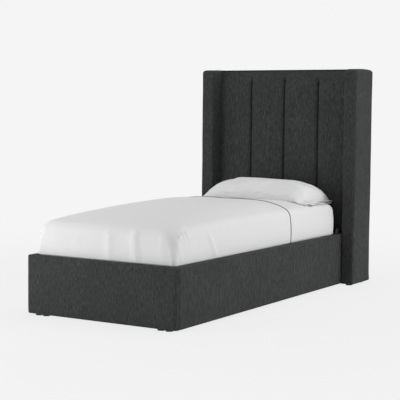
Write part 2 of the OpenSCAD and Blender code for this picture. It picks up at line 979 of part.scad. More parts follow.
module slat_profile() {
    spots = [for (i = [0:slat_steps]) 2 * i / slat_steps - 1];
    polygon(concat(
        [for (t = spots) [slat_x * t, slat_z + slat_rise(t)]],
        [for (t = spots) [-slat_x * t, slat_z + slat_t + slat_rise(t)]]));
}

module slats() {
    color(timber) bed() for (i = [0:slat_n - 1])
        along(slat_y(i) - slat_w / 2, slat_y(i) + slat_w / 2) slat_profile();
}

// A cap holds each end of a slat on the tube
module slat_cap(y) {
    difference() {
        block([slat_x + cap_wall - cap_in, y - slat_w / 2 - cap_wall, tube_z1],
            [slat_x + cap_wall, y + slat_w / 2 + cap_wall, slat_z + slat_t + cap_wall]);
        block([slat_x - cap_in, y - slat_w / 2 - slat_clear, slat_z - slat_clear],
            [slat_x + slat_clear, y + slat_w / 2 + slat_clear, slat_z + slat_t + cap_room]);
    }
}

module slat_caps() {
    color(black) bed() both_sides() for (i = [0:slat_n - 1]) slat_cap(slat_y(i));
}

strap_drop = 12;

module pull_strap() {
    color(black) bed()
        block([-strap_w / 2, strap_y, tube_z0], [strap_w / 2, strap_y + strap_t, rail_z - strap_drop]);
}

// Bedding

// The rounded edge of the mattress turns by this angle, and then runs on into the crown
edge_turn = 76;
crown_power = 2.2;
turn_in = mattress_edge * (1 - cos(edge_turn));
turn_z = edge_z - mattress_edge * (1 - sin(edge_turn));

// Height of the mattress top at a distance s in from its outline
function crown_at(s) = let (f = 1 - (min(max(s, turn_in), mattress_x) - turn_in) / (mattress_x - turn_in))
    turn_z + mattress_crown * (1 - pow(f, crown_power));

// The sides of the mattress draw in a little towards the bottom
bottom_in = 5;
side_in = 1.5;
bottom_h = 14;

function bottom_inset(z) = bottom_in - (bottom_in - side_in) * (z - mattress_z) / bottom_h;

// Heights of the side: the start, middle and end of the bulge above the rails, and the straight part
bulge_z0 = rail_z + 1;
bulge_z1 = rail_z + 22;
bulge_z2 = rail_z + 80;
side_z1 = edge_z - mattress_edge - 25;
box_share = 0.1;

// Bulge of the sides at a height: little inside the box of rails, and most just above it
function bulge(z) = side_bulge * (z <= bulge_z0 ? box_share
    : z <= bulge_z1 ? box_share + (1 - box_share) * (z - bulge_z0) / (bulge_z1 - bulge_z0)
    : z <= bulge_z2 ? 1 : max(0, (edge_z - z) / (edge_z - bulge_z2)));

// Side, rounded top edge and crown of the mattress as [inset, sideways growth, height],
// for a skin that lies d outside it
edge_parts = 4;
edge_steps = [0:edge_turn / edge_parts:edge_turn];
top_insets = [90, 150, 230, 330, mattress_x - 2];

function skin_line(d, z0) = concat(
    [[bottom_inset(z0), d, z0], [side_in, d, mattress_z + bottom_h], [side_in, d, bulge_z0]],
    [for (z = [bulge_z1, bulge_z2, side_z1]) [0, d, z]],
    [for (t = edge_steps) [mattress_edge * (1 - cos(t)), d * cos(t),
        edge_z - mattress_edge + (mattress_edge + d) * sin(t)]],
    [for (s = top_insets) [s, 0, crown_at(s) + d]]);

// Half of the width of a skin at a point of its line
function half_width(line) = mattress_x - line[0] + line[1] + bulge(line[2]);

// The foot corners are tight at the rails. All corners grow rounder towards the middle of the top.
low_corner = 15;
round_in = 0.8;

function corner_at(z) = low_corner
    + (mattress_corner - low_corner) * min(1, max(0, (z - rail_z) / (edge_z - rail_z)));

// The crown rises more slowly from the foot than from the sides
foot_ease = 1.6;

function foot_back(s) = max(0, s - turn_in) * (foot_ease - 1);

// Outline of the mattress at a point of the skin line, with extra points along its straight sides
function outline(line, side_n, end_n) =
    let (
        a = half_width(line),
        b = mattress_l / 2 - line[0] + line[1],
        head_r = min(a - 1, head_corner + round_in * line[0] + line[1]),
        foot_r = min(a - 1, corner_at(line[2]) + round_in * line[0] + line[1]),
        turns = [0, 18, 36, 54, 72, 90],
        quarter = function (q) let (r = q < 2 ? head_r : foot_r) [for (t = turns) let (
            cx = (q == 0 || q == 3 ? 1 : -1) * (a - r),
            cy = q < 2 ? b - r : r - b + foot_back(line[0]) - bulge(line[2]))
            [cx + r * cos(90 * q + t), mattress_yc + cy + r * sin(90 * q + t), line[2]]],
        side = function (from, to, n) [for (i = [1:1:n]) from + (to - from) * i / (n + 1)],
        q0 = quarter(0), q1 = quarter(1), q2 = quarter(2), q3 = quarter(3)
    )
    concat(q0, side(q0[5], q1[0], end_n), q1, side(q1[5], q2[0], side_n),
        q2, side(q2[5], q3[0], end_n), q3, side(q3[5], q0[0], side_n));

// Bulk of the mattress grown by d, from the height z0 up
module mattress_form(d, z0, side_n = 4, end_n = 1, fold = 0) {
    rings = [for (line = skin_line(d, z0)) [for (p = outline(line, side_n, end_n)) folded(p, fold)]];
    ring_stack(rings);
}

// Shallow upright folds near the foot corners, in the sides of a sheet
fold_start = mattress_z + 10;
side_fold_w = 230;
side_fold_reach = 700;
foot_fold_w = 300;
fold_edge = 3;

function folded(p, h) = h == 0 || p.z > edge_z - mattress_edge || p.z < fold_start ? p :
    let (
        from_foot = p.y - mattress_y0,
        wave = pow(max(0, sin(360 * from_foot / side_fold_w)), 2) * exp(-from_foot / side_fold_reach),
        foot_wave = pow(max(0, sin(360 * (p.x + mattress_x) / foot_fold_w)), 2),
        on_side = abs(p.x) > mattress_x - fold_edge,
        on_foot = p.y < mattress_y0 + fold_edge
    )
    [p.x + (on_side ? sign(p.x) * h * wave : 0), p.y - (on_foot ? h * foot_wave : 0), p.z];

module mattress() {
    color(white) bed() mattress_form(0, mattress_z);
}

fitted_d = soft_gap + fitted_t;
sheet_d = fitted_d + soft_gap + sheet_t;
fitted_rise = 1;
sheet_rise = 6;
piping_rise = 8;
below = 5;

module fitted_sheet() {
    color(white) bed() difference() {
        mattress_form(fitted_d, mattress_z + fitted_rise);
        mattress_form(soft_gap, mattress_z - below);
    }
}

module top_sheet() {
    color(white) bed() intersection() {
        difference() {
            mattress_form(sheet_d, mattress_z + sheet_rise, 18, 8, fold_h);
            mattress_form(fitted_d + soft_gap, mattress_z - below);
        }
        block([-big, -big, 0], [big, sheet_y, big]);
    }
}

module sheet_piping() {
    r = piping_d / 2;
    d = fitted_d + soft_gap + r;
    line = [for (p = skin_line(d, mattress_z + piping_rise)) [half_width(p), sheet_y + soft_gap + r, p[2]]];
    other = [for (i = [len(line) - 1:-1:0]) [-line[i].x, line[i].y, line[i].z]];
    color(charcoal) bed() tube_along(concat(line, other), r);
}

pillow_over = 49;
pillow_y = mattress_y1 + pillow_over - pillow_l / 2;
pillow_cols = 24;
pillow_rows = 14;
hem_t = 5;

// Thickness of the pillow at u across and v along, from its middle
function pillow_rise(u, v) = let (w = min(1, abs(u) * pillow_w / (pillow_w - 2 * pillow_flap)))
    hem_t + (pillow_h - hem_t) * pow(1 - pow(w, 4.5), 0.62) * pow(1 - pow(abs(v), 2.4), 0.65);

// The sides of the pillow draw in between its corners
function pillow_plan(u, v) = [
    pillow_shift + pillow_w / 2 * u * (1 - 0.03 * (1 - v * v)),
    pillow_y + pillow_l / 2 * v * (1 - 0.05 * (1 - u * u))];

function pillow_seat(p) = crown_at(min(mattress_x - abs(p.x), mattress_l / 2 - abs(p.y - mattress_yc)))
    + fitted_d + 2 * soft_gap;

module pillow() {
    n = pillow_cols;
    m = pillow_rows;
    grid = [for (j = [0:m], i = [0:n]) let (u = sin(90 * (2 * i / n - 1)), v = sin(90 * (2 * j / m - 1)))
        [u, v]];
    low = [for (g = grid) let (p = pillow_plan(g.x, g.y)) [p.x, p.y, pillow_seat(p)]];
    high = [for (k = [0:len(grid) - 1]) low[k] + [0, 0, pillow_rise(grid[k].x, grid[k].y)]];
    up = len(grid);
    w = n + 1;
    sheets = [for (j = [0:m - 1], i = [0:n - 1]) let (a = j * w + i, b = a + 1, c = b + w, d = a + w)
        each [[a, b, c], [a, c, d], [up + a, up + c, up + b], [up + a, up + d, up + c]]];
    rim = concat(
        [for (i = [0:n - 1]) [i, i + 1]],
        [for (j = [0:m - 1]) [j * w + n, (j + 1) * w + n]],
        [for (i = [n:-1:1]) [m * w + i, m * w + i - 1]],
        [for (j = [m:-1:1]) [j * w, (j - 1) * w]]);
    walls = [for (e = rim) each [[e[0], e[1] + up, e[1]], [e[0], e[0] + up, e[1] + up]]];
    color(white) bed() polyhedron(concat(low, high), concat(sheets, walls));
}

side_rail_left();
side_rail_right();
foot_rail();
head_rail();
rail_cover_left();
rail_cover_right();
foot_cover();
corner_brackets();
corner_bolts();
head_brackets();
head_bolts();
floor_battens();
floor_panel_foot();
floor_panel_head();
platform_battens();
stop_pads();
glides();
hinge_plate_left();
hinge_plate_right();
hinge_screws();
hinge_washers();
headboard_post_left();
headboard_post_right();
headboard_top_rail();
headboard_middle_rail();
headboard_bottom_rail();
headboard_ply();
channel_pad_1();
channel_pad_2();
channel_pad_3();
channel_pad_4();
headboard_border();
headboard_back_cloth();
wing_board_left();
wing_board_right();
wing_cover_left();
wing_cover_right();
wing_bolts();
platform_tube_left();
platform_tube_right();
platform_head_tube();
platform_middle_tube();
platform_foot_tube();
lift_arm_left();
lift_arm_right();
arm_bolts();
slats();
slat_caps();
pull_strap();
strut_cylinder_left();
strut_cylinder_right();
strut_rod_left();
strut_rod_right();
mattress();
fitted_sheet();
top_sheet();
sheet_piping();
pillow();
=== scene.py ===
"""Dresses a single storage bed: channelled headboard with wings, padded rails, mattress, sheets and pillow.

Every piece is built in metres round the fixed frame, with the foot of the bed at -Y and the headboard at +Y.
"""

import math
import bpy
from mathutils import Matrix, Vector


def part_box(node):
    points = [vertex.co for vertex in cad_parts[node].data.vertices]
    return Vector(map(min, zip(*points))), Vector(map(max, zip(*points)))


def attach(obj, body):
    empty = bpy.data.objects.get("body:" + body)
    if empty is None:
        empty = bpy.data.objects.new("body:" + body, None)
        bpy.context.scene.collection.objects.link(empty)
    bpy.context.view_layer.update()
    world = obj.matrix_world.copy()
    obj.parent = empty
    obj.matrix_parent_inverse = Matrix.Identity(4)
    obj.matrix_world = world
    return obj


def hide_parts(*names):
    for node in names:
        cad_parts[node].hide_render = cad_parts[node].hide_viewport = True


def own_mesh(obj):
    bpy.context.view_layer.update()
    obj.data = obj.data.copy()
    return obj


bl_info = {
    "name": "Upholstered Storage Bed",
    "version": (1, 0, 0),
    "blender": (4, 5, 0),
    "location": "View3D > Sidebar > Bed",
    "description": "Builds the upholstery, bedding and finishes of a single storage bed",
    "category": "Object",
}

import bmesh
import bpy
from mathutils import Matrix, Vector, noise

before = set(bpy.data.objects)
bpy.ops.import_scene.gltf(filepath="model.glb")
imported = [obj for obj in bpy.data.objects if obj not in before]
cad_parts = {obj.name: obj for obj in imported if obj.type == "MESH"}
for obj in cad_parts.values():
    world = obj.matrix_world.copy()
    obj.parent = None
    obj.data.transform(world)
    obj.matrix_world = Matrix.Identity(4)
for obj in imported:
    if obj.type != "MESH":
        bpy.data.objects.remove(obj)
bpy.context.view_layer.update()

# Boxes of the frame that the soft pieces are fitted to
RAIL_LOW, RAIL_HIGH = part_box("rail_cover_right")
FOOT_LOW, FOOT_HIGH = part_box("foot_cover")
SIDE_BOARD_LOW, SIDE_BOARD_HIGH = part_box("side_rail_right")
WING_LOW, WING_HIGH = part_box("wing_cover_right")
BORDER_LOW, BORDER_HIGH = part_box("headboard_border")
PLY_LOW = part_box("headboard_ply")[0]
BACK_LOW, BACK_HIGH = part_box("headboard_back_cloth")
MATTRESS_LOW, MATTRESS_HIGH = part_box("mattress")
SHEET_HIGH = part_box("top_sheet")[1]
PIPING_LOW, PIPING_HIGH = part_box("sheet_piping")
PILLOW_LOW, PILLOW_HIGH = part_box("pillow")
STRAP_LOW, STRAP_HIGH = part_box("pull_strap")
CHANNELS = [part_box(f"channel_pad_{i}") for i in (1, 2, 3, 4)]
MM = 0.001


def linear(code):
    """An sRGB hex value as linear red, green and blue."""
    parts = [int(code[i:i + 2], 16) / 255 for i in (1, 3, 5)]
    return tuple(c / 12.92 if c <= 0.04045 else ((c + 0.055) / 1.055) ** 2.4 for c in parts)


def length(name, description, default):
    """A length that a user may change."""
    return bpy.props.FloatProperty(
        name=name, description=description, default=default, min=0.0, unit="LENGTH", precision=4)


def colour(name, description, code):
    """A colour that a user may change, from its sRGB hex value."""
    return bpy.props.FloatVectorProperty(
        name=name, description=description, default=linear(code), size=3, min=0.0, max=1.0, subtype="COLOR")


class BedSizes(bpy.types.PropertyGroup):
    """Sizes of the soft pieces that the frame doesn't give"""

    seam_depth: length("Seam depth", "Depth of the tight seams between the channels", 0.020)
    seam_half: length("Seam half width", "Half of the width of a seam where it opens", 0.0055)
    channel_crown: length("Channel crown", "Rise of a channel from its seams to its middle", 0.010)
    top_roll: length("Top roll", "How far the padding rolls back towards the top", 0.026)
    seam_top: length("Seam fade start", "Distance from the top to where the seams begin", 0.032)
    seam_full: length("Seam fade end", "Distance from the top to where the seams are full", 0.088)
    panel_edge: length("Panel edge", "Radius of the headboard's front top edge", 0.022)
    hem_edge: length("Hem edge", "Radius of the headboard's back top edge", 0.006)
    wing_edge: length("Wing edge", "Radius of the padded edges of a wing", 0.017)
    wing_arch: length("Wing arch", "Radius of the slight arch along the top of a wing", 1.9)
    rail_edge: length("Rail edge", "Radius of the outer top edge of the rail covers", 0.007)
    corner: length("Foot corner", "Radius of the padded foot corners, seen from above", 0.022)
    corner_seam: length("Corner seam", "Distance from the foot to the upright seam in the side", 0.027)
    mattress_edge: length("Mattress edge", "Radius along the top edge of the mattress", 0.055)
    mattress_corner: length("Mattress corner", "Radius of its foot corners, seen from above", 0.067)
    mattress_crown: length("Mattress crown", "Rise of the mattress from its edge to its middle", 0.045)
    fitted_lift: length("Fitted sheet lift", "Distance of its outside from the mattress", 0.0013)
    sheet_lift: length("Top sheet lift", "Distance of its outside from the mattress", 0.0030)
    sheet_thick: length("Sheet thickness", "Thickness of the sheets", 0.0007)
    linen_thick: length("Linen thickness", "Thickness of the upholstery cloth", 0.0015)
    backing_thick: length("Backing thickness", "Thickness of the backing cloth", 0.0008)
    webbing_thick: length("Webbing thickness", "Thickness of the pull strap", 0.0016)
    piping: length("Piping", "Diameter of the piping on the edge of the top sheet", 0.0066)
    pillow_flap: length("Pillow flap", "Width of the flap at each end of the pillow case", 0.045)


class BedColours(bpy.types.PropertyGroup):
    """Colours of the finishes"""

    linen: colour("Linen", "Charcoal upholstery cloth", "#464847")
    linen_dark: colour("Linen shade", "Darker yarns of the upholstery cloth", "#343635")
    linen_light: colour("Linen slub", "Lighter slub yarns of the upholstery cloth", "#5a5c5b")
    backing: colour("Backing", "Black backing cloth", "#262829")
    cotton: colour("Cotton", "White bed linen", "#eeeeee")
    ticking: colour("Ticking", "Mattress cover", "#e6e3dc")
    piping: colour("Piping", "Dark piping of the top sheet", "#4b4f52")
    pine: colour("Pine", "Pine boards", "#cfae7c")
    pine_dark: colour("Pine rings", "Late wood of the pine boards", "#b08a57")
    birch: colour("Birch", "Birch veneer", "#d8c093")
    zinc: colour("Zinc", "Zinc plated steel", "#a9adb0")
    grey_paint: colour("Grey paint", "Grey powder coat", "#868a8d")
    black_paint: colour("Black paint", "Black powder coat", "#232527")
    plastic: colour("Plastic", "Black plastic", "#1d1f20")
    webbing: colour("Webbing", "Black webbing", "#26282a")
    floor: colour("Floor", "Pale studio floor and backdrop", "#f5f5f5")


def sizes():
    """The sizes set in the scene."""
    return bpy.context.scene.bed_sizes


def colours():
    """The colours set in the scene."""
    return bpy.context.scene.bed_colours


# Node and material helpers

def add_node(tree, kind, inputs=None, **settings):
    """Adds a shader node with its settings, and sets or links its inputs."""
    made = tree.nodes.new(kind)
    for name, value in settings.items():
        setattr(made, name, value)
    for key, value in (inputs or {}).items():
        if isinstance(value, bpy.types.NodeSocket):
            tree.links.new(value, made.inputs[key])
        else:
            made.inputs[key].default_value = value
    return made


def start_material(name, colour_name, roughness, metallic=0.0):
    """A material with a Principled shader in one of the set colours, and its Object coordinates."""
    material = bpy.data.materials.new(name)
    material.use_nodes = True
    tree = material.node_tree
    shader = tree.nodes["Principled BSDF"]
    tint = (*getattr(colours(), colour_name), 1.0)
    shader.inputs["Base Color"].default_value = tint
    shader.inputs["Roughness"].default_value = roughness
    shader.inputs["Metallic"].default_value = metallic
    material.diffuse_color = tint
    place = add_node(tree, "ShaderNodeTexCoord").outputs["Object"]
    return material, tree, shader, place


def rgba(colour_name):
    """A set colour with full opacity, for a socket."""
    return (*getattr(colours(), colour_name), 1.0)


def stretched(tree, place, scale):
    """Object coordinates in units of a pattern, whose size along X, Y and Z is given in millimetres."""
    per_metre = [1 / (s * MM) for s in scale]
    return add_node(tree, "ShaderNodeMapping", {"Vector": place, "Scale": per_metre}).outputs["Vector"]


def mottle(tree, vector, detail=2.0, roughness=0.5):
    """Noise at one cell for each unit of the vector."""
    inputs = {"Vector": vector, "Scale": 1.0, "Detail": detail, "Roughness": roughness}
    return add_node(tree, "ShaderNodeTexNoise", inputs).outputs["Fac"]


def remap(tree, value, low, high, to_low=0.0, to_high=1.0):
    """A value stretched from one range to another and held at its ends."""
    inputs = {"Value": value, 1: low, 2: high, 3: to_low, 4: to_high}
    return add_node(tree, "ShaderNodeMapRange", inputs).outputs["Result"]


def blend_colours(tree, factor, first, second):
    """A mix of two colours, each a socket or a value."""
    mixed = add_node(tree, "ShaderNodeMix", {0: factor, 6: first, 7: second}, data_type="RGBA")
    return mixed.outputs[2]


def arithmetic(tree, operation, first, second=0.0):
    """One step of arithmetic on two values."""
    return add_node(tree, "ShaderNodeMath", {0: first, 1: second}, operation=operation).outputs["Value"]


def raise_surface(tree, shader, height, distance_mm, strength):
    """Bumps the shader's surface by a height pattern."""
    inputs = {"Height": height, "Distance": distance_mm * MM, "Strength": strength}
    shader_normal = add_node(tree, "ShaderNodeBump", inputs).outputs["Normal"]
    tree.links.new(shader_normal, shader.inputs["Normal"])


def yarn_pattern(tree, place, pitch_mm):
    """A plain weave: how far each warp and weft yarn stands out, over the face that it covers."""
    parts = add_node(tree, "ShaderNodeSeparateXYZ", {"Vector": place}).outputs
    across = arithmetic(tree, "ADD", parts["X"], parts["Y"])
    turn = math.pi / (pitch_mm * MM)
    warp = arithmetic(tree, "SINE", arithmetic(tree, "MULTIPLY", across, turn))
    weft = arithmetic(tree, "SINE", arithmetic(tree, "MULTIPLY", parts["Z"], turn))
    over = arithmetic(tree, "GREATER_THAN", arithmetic(tree, "MULTIPLY", warp, weft), 0.0)
    ridges = {0: over, 2: arithmetic(tree, "ABSOLUTE", warp), 3: arithmetic(tree, "ABSOLUTE", weft)}
    return add_node(tree, "ShaderNodeMix", ridges, data_type="FLOAT").outputs[0]


# Materials, named for what they are

def woven_linen():
    """Slubby polyester linen: matt, mottled cloth whose thicker yarns run up and down."""
    material, tree, shader, place = start_material("charcoal_linen", "linen", 0.92)
    # Yarns of about 1 mm are drawn 3 mm wide, because finer ones don't show in the render
    weave = yarn_pattern(tree, place, 3.0)
    slub = mottle(tree, stretched(tree, place, (6.0, 6.0, 30.0)), 3.0, 0.62)
    cross_slub = mottle(tree, stretched(tree, place, (16.0, 16.0, 7.0)), 2.0, 0.5)
    cloud = mottle(tree, stretched(tree, place, (170.0, 170.0, 240.0)), 2.0, 0.5)
    dark = remap(tree, slub, 0.36, 0.56)
    base = blend_colours(tree, dark, rgba("linen_dark"), rgba("linen"))
    light = remap(tree, slub, 0.56, 0.74, 0.0, 0.8)
    with_slubs = blend_colours(tree, light, base, rgba("linen_light"))
    crossed = remap(tree, cross_slub, 0.55, 0.75, 0.0, 0.35)
    with_cross = blend_colours(tree, crossed, with_slubs, rgba("linen_light"))
    shade = remap(tree, cloud, 0.3, 0.7, 0.0, 0.3)
    tree.links.new(blend_colours(tree, shade, with_cross, rgba("linen_dark")), shader.inputs["Base Color"])
    uneven = arithmetic(tree, "ADD", arithmetic(tree, "MULTIPLY", slub, 1.4), weave)
    raise_surface(tree, shader, uneven, 0.9, 0.55)
    shader.inputs["Sheen Weight"].default_value = 0.02
    shader.inputs["Specular IOR Level"].default_value = 0.12
    return material


def backing_cloth():
    """Spun non-woven backing: thin black felt with a fine dimpled press pattern."""
    material, tree, shader, place = start_material("black_backing", "backing", 0.95)
    pressed = {"Vector": stretched(tree, place, (3.0, 3.0, 3.0)), "Scale": 1.0}
    dimples = add_node(tree, "ShaderNodeTexVoronoi", pressed)
    fibres = mottle(tree, stretched(tree, place, (14.0, 14.0, 9.0)), 4.0, 0.7)
    paler = remap(tree, fibres, 0.4, 0.75, 0.0, 0.35)
    felt = blend_colours(tree, paler, rgba("backing"), rgba("linen_dark"))
    tree.links.new(felt, shader.inputs["Base Color"])
    raise_surface(tree, shader, dimples.outputs["Distance"], 0.3, 0.5)
    shader.inputs["Specular IOR Level"].default_value = 0.2
    return material


def cotton_percale():
    """Washed cotton percale: white, matt, with soft creases and a fine even weave."""
    material, tree, shader, place = start_material("white_cotton", "cotton", 0.88)
    warped = mottle(tree, stretched(tree, place, (120.0, 90.0, 100.0)), 3.0, 0.55)
    fine = mottle(tree, stretched(tree, place, (26.0, 20.0, 22.0)), 3.0, 0.6)
    # Threads of about 0.3 mm are drawn 1.6 mm wide, the finest that shows close up
    weave = yarn_pattern(tree, place, 1.6)
    folds = arithmetic(tree, "ADD", arithmetic(tree, "MULTIPLY", warped, 7.0),
                       arithmetic(tree, "MULTIPLY", fine, 1.1))
    height = arithmetic(tree, "ADD", folds, arithmetic(tree, "MULTIPLY", weave, 0.05))
    raise_surface(tree, shader, height, 1.0, 0.5)
    shader.inputs["Sheen Weight"].default_value = 0.1
    shader.inputs["Specular IOR Level"].default_value = 0.3
    return material


def knitted_ticking():
    """Knitted mattress ticking: off-white, with small quilted dimples."""
    material, tree, shader, place = start_material("mattress_ticking", "ticking", 0.9)
    cells = {"Vector": stretched(tree, place, (22.0, 22.0, 22.0)), "Scale": 1.0, "Randomness": 0.15}
    quilt = add_node(tree, "ShaderNodeTexVoronoi", cells, feature="SMOOTH_F1")
    loops = yarn_pattern(tree, place, 2.0)
    height = arithmetic(tree, "SUBTRACT", arithmetic(tree, "MULTIPLY", loops, 0.2), quilt.outputs["Distance"])
    raise_surface(tree, shader, height, 1.6, 0.6)
    return material


def piping_cord():
    """Cotton piping: dark grey cord with a slanting ply."""
    material, tree, shader, place = start_material("grey_piping", "piping", 0.85)
    inputs = {"Vector": stretched(tree, place, (9.0, 9.0, 9.0)), "Scale": 1.0, "Distortion": 0.6}
    ply = add_node(tree, "ShaderNodeTexWave", inputs, wave_type="BANDS", bands_direction="DIAGONAL")
    tree.links.new(blend_colours(tree, ply.outputs["Fac"], rgba("piping"), rgba("linen_dark")),
                   shader.inputs["Base Color"])
    raise_surface(tree, shader, ply.outputs["Fac"], 0.4, 0.6)
    return material


def sawn_wood(name, grain_mm, colour_name="pine", ring_name="pine_dark"):
    """Planed softwood or veneer: satin, with rings drawn out along the grain and a few darker knots."""
    material, tree, shader, place = start_material(name, colour_name, 0.6)
    along = stretched(tree, place, grain_mm)
    rings = mottle(tree, along, 4.0, 0.6)
    pores = mottle(tree, stretched(tree, place, [s * 0.12 for s in grain_mm]), 2.0, 0.5)
    late = remap(tree, rings, 0.42, 0.62)
    grain = blend_colours(tree, late, rgba(colour_name), rgba(ring_name))
    scattered = {"Vector": stretched(tree, place, (160, 160, 160)), "Scale": 1.0}
    knots = add_node(tree, "ShaderNodeTexVoronoi", scattered)
    knot = remap(tree, knots.outputs["Distance"], 0.02, 0.09, 0.75, 0.0)
    tree.links.new(blend_colours(tree, knot, grain, rgba("pine_dark")), shader.inputs["Base Color"])
    raise_surface(tree, shader, arithmetic(tree, "ADD", rings, pores), 0.25, 0.5)
    return material


def steel_finish(name, colour_name, roughness, metallic, texture_mm, bump):
    """Steel, plated or powder coated: a fine even orange peel and slightly uneven gloss."""
    material, tree, shader, place = start_material(name, colour_name, roughness, metallic)
    peel = mottle(tree, stretched(tree, place, (texture_mm,) * 3), 2.0, 0.5)
    smear = mottle(tree, stretched(tree, place, (38.0, 38.0, 38.0)), 3.0, 0.6)
    spread = remap(tree, smear, 0.3, 0.7, max(0.02, roughness - 0.08), roughness + 0.1)
    tree.links.new(spread, shader.inputs["Roughness"])
    raise_surface(tree, shader, peel, 0.12, bump)
    return material


def moulded_plastic(name, colour_name, roughness):
    """Moulded plastic or rubber: spark-eroded grain and faint scuffs."""
    material, tree, shader, place = start_material(name, colour_name, roughness)
    grain = mottle(tree, stretched(tree, place, (1.1, 1.1, 1.1)), 2.0, 0.6)
    scuff = mottle(tree, stretched(tree, place, (16.0, 16.0, 5.0)), 4.0, 0.7)
    worn = remap(tree, scuff, 0.58, 0.8, 0.0, 0.35)
    tree.links.new(blend_colours(tree, worn, rgba(colour_name), rgba("linen")), shader.inputs["Base Color"])
    raise_surface(tree, shader, grain, 0.15, 0.4)
    return material


def strap_webbing():
    """Polypropylene webbing: black ribbed tape whose ribs run along it."""
    material, tree, shader, place = start_material("webbing", "webbing", 0.7)
    ribs = {"Vector": stretched(tree, place, (3.2, 3.2, 3.2)), "Scale": 1.0, "Distortion": 0.2}
    rib = add_node(tree, "ShaderNodeTexWave", ribs, wave_type="BANDS", bands_direction="X")
    picks = yarn_pattern(tree, place, 1.4)
    raise_surface(tree, shader, arithmetic(tree, "ADD", rib.outputs["Fac"], picks), 0.5, 0.7)
    return material


MATERIALS = {}


def make_materials():
    """Makes every finish once, under the name of its slot in the record or a variant of it."""
    MATERIALS["charcoal_linen"] = woven_linen()
    MATERIALS["black_backing"] = backing_cloth()
    MATERIALS["white_cotton"] = cotton_percale()
    MATERIALS["mattress_ticking"] = knitted_ticking()
    MATERIALS["grey_piping"] = piping_cord()
    MATERIALS["pine_along_y"] = sawn_wood("pine_along_y", (11.0, 420.0, 11.0))
    MATERIALS["pine_along_x"] = sawn_wood("pine_along_x", (420.0, 11.0, 11.0))
    MATERIALS["pine_along_z"] = sawn_wood("pine_along_z", (11.0, 11.0, 420.0))
    MATERIALS["plywood"] = sawn_wood("plywood", (260.0, 3.0, 14.0), "birch", "pine")
    MATERIALS["birch_slat"] = sawn_wood("birch_slat", (300.0, 9.0, 3.0), "birch", "pine")
    MATERIALS["zinc_steel"] = steel_finish("zinc_steel", "zinc", 0.34, 1.0, 5.0, 0.2)
    MATERIALS["grey_steel"] = steel_finish("grey_steel", "grey_paint", 0.42, 0.2, 1.4, 0.5)
    MATERIALS["black_steel"] = steel_finish("black_steel", "black_paint", 0.5, 0.0, 1.4, 0.5)
    MATERIALS["strut_black"] = steel_finish("strut_black", "black_paint", 0.25, 0.0, 6.0, 0.15)
    MATERIALS["strut_chrome"] = steel_finish("strut_chrome", "zinc", 0.12, 1.0, 9.0, 0.05)
    MATERIALS["black_plastic"] = moulded_plastic("black_plastic", "plastic", 0.55)
    MATERIALS["rubber"] = moulded_plastic("rubber", "plastic", 0.8)
    MATERIALS["webbing"] = strap_webbing()


# Mesh helpers

def grid_mesh(columns, rows, place):
    """A grid of columns by rows cells, whose corners are placed by their column and row numbers."""
    bm = bmesh.new()
    bmesh.ops.create_grid(bm, x_segments=columns, y_segments=rows, size=0.5)
    for v in bm.verts:
        v.co = place(round((v.co.x + 0.5) * columns), round((v.co.y + 0.5) * rows))
    return bm


def turn_outwards(bm, merge=0.00001):
    """Merges doubles, then points every face outwards."""
    bmesh.ops.remove_doubles(bm, verts=bm.verts, dist=merge)
    bmesh.ops.dissolve_degenerate(bm, edges=bm.edges, dist=merge)
    bmesh.ops.recalc_face_normals(bm, faces=bm.faces)


def mirrored(bm):
    """A copy of a mesh for the other side of the bed."""
    other = bm.copy()
    bmesh.ops.scale(other, verts=other.verts, vec=(-1, 1, 1))
    bmesh.ops.recalc_face_normals(other, faces=other.faces)
    return other


def fill_rims(bm):
    """Fills every open rim of a mesh."""
    rims = [e for e in bm.edges if e.is_boundary]
    if rims:
        bmesh.ops.holes_fill(bm, edges=rims, sides=0)


def face_out(bm, direction):
    """Turns the faces of an open sheet the same way, so that most of it faces in a direction."""
    bmesh.ops.recalc_face_normals(bm, faces=bm.faces)
    total = sum((f.normal * f.calc_area() for f in bm.faces), Vector())
    if total.dot(direction) < 0:
        bmesh.ops.reverse_faces(bm, faces=bm.faces)


def put_in_scene(name, data):
    """An object with a mesh, lamp or camera, linked to the scene."""
    made = bpy.data.objects.new(name, data)
    bpy.context.scene.collection.objects.link(made)
    return made


def make_piece(name, bm, body, slot, replaces):
    """Makes a smooth piece of the mesh, gives it its finish, and has it ride on a body of the frame."""
    mesh = bpy.data.meshes.new(name)
    bm.to_mesh(mesh)
    bm.free()
    for face in mesh.polygons:
        face.use_smooth = True
    piece = put_in_scene(name, mesh)
    mesh.materials.append(MATERIALS[slot])
    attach(piece, body)
    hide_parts(*replaces)
    return piece


def thicken(piece, thickness, offset=-1.0):
    """Gives a sheet its thickness, on the inside of its faces."""
    solidify = piece.modifiers.new("Cloth thickness", "SOLIDIFY")
    solidify.thickness = thickness
    solidify.offset = offset
    solidify.use_even_offset = False


def spread(low, high, count):
    """Evenly spaced numbers from low to high."""
    return [low + (high - low) * i / count for i in range(count + 1)]


def arc(centre, radius, start, end, steps):
    """Points along an arc in a plane, from one angle in degrees to another."""
    angles = [math.radians(a) for a in spread(start, end, steps)]
    return [(centre[0] + radius * math.cos(a), centre[1] + radius * math.sin(a)) for a in angles]


def smooth_step(value, low, high):
    """0 below low, 1 above high, and a smooth rise between them."""
    t = min(1.0, max(0.0, (value - low) / (high - low)))
    return t * t * (3 - 2 * t)


def unevenness(point, cell, height):
    """A gentle unevenness of padded cloth, with bumps about a cell wide."""
    return height * noise.noise(point / cell)


# Headboard and wings

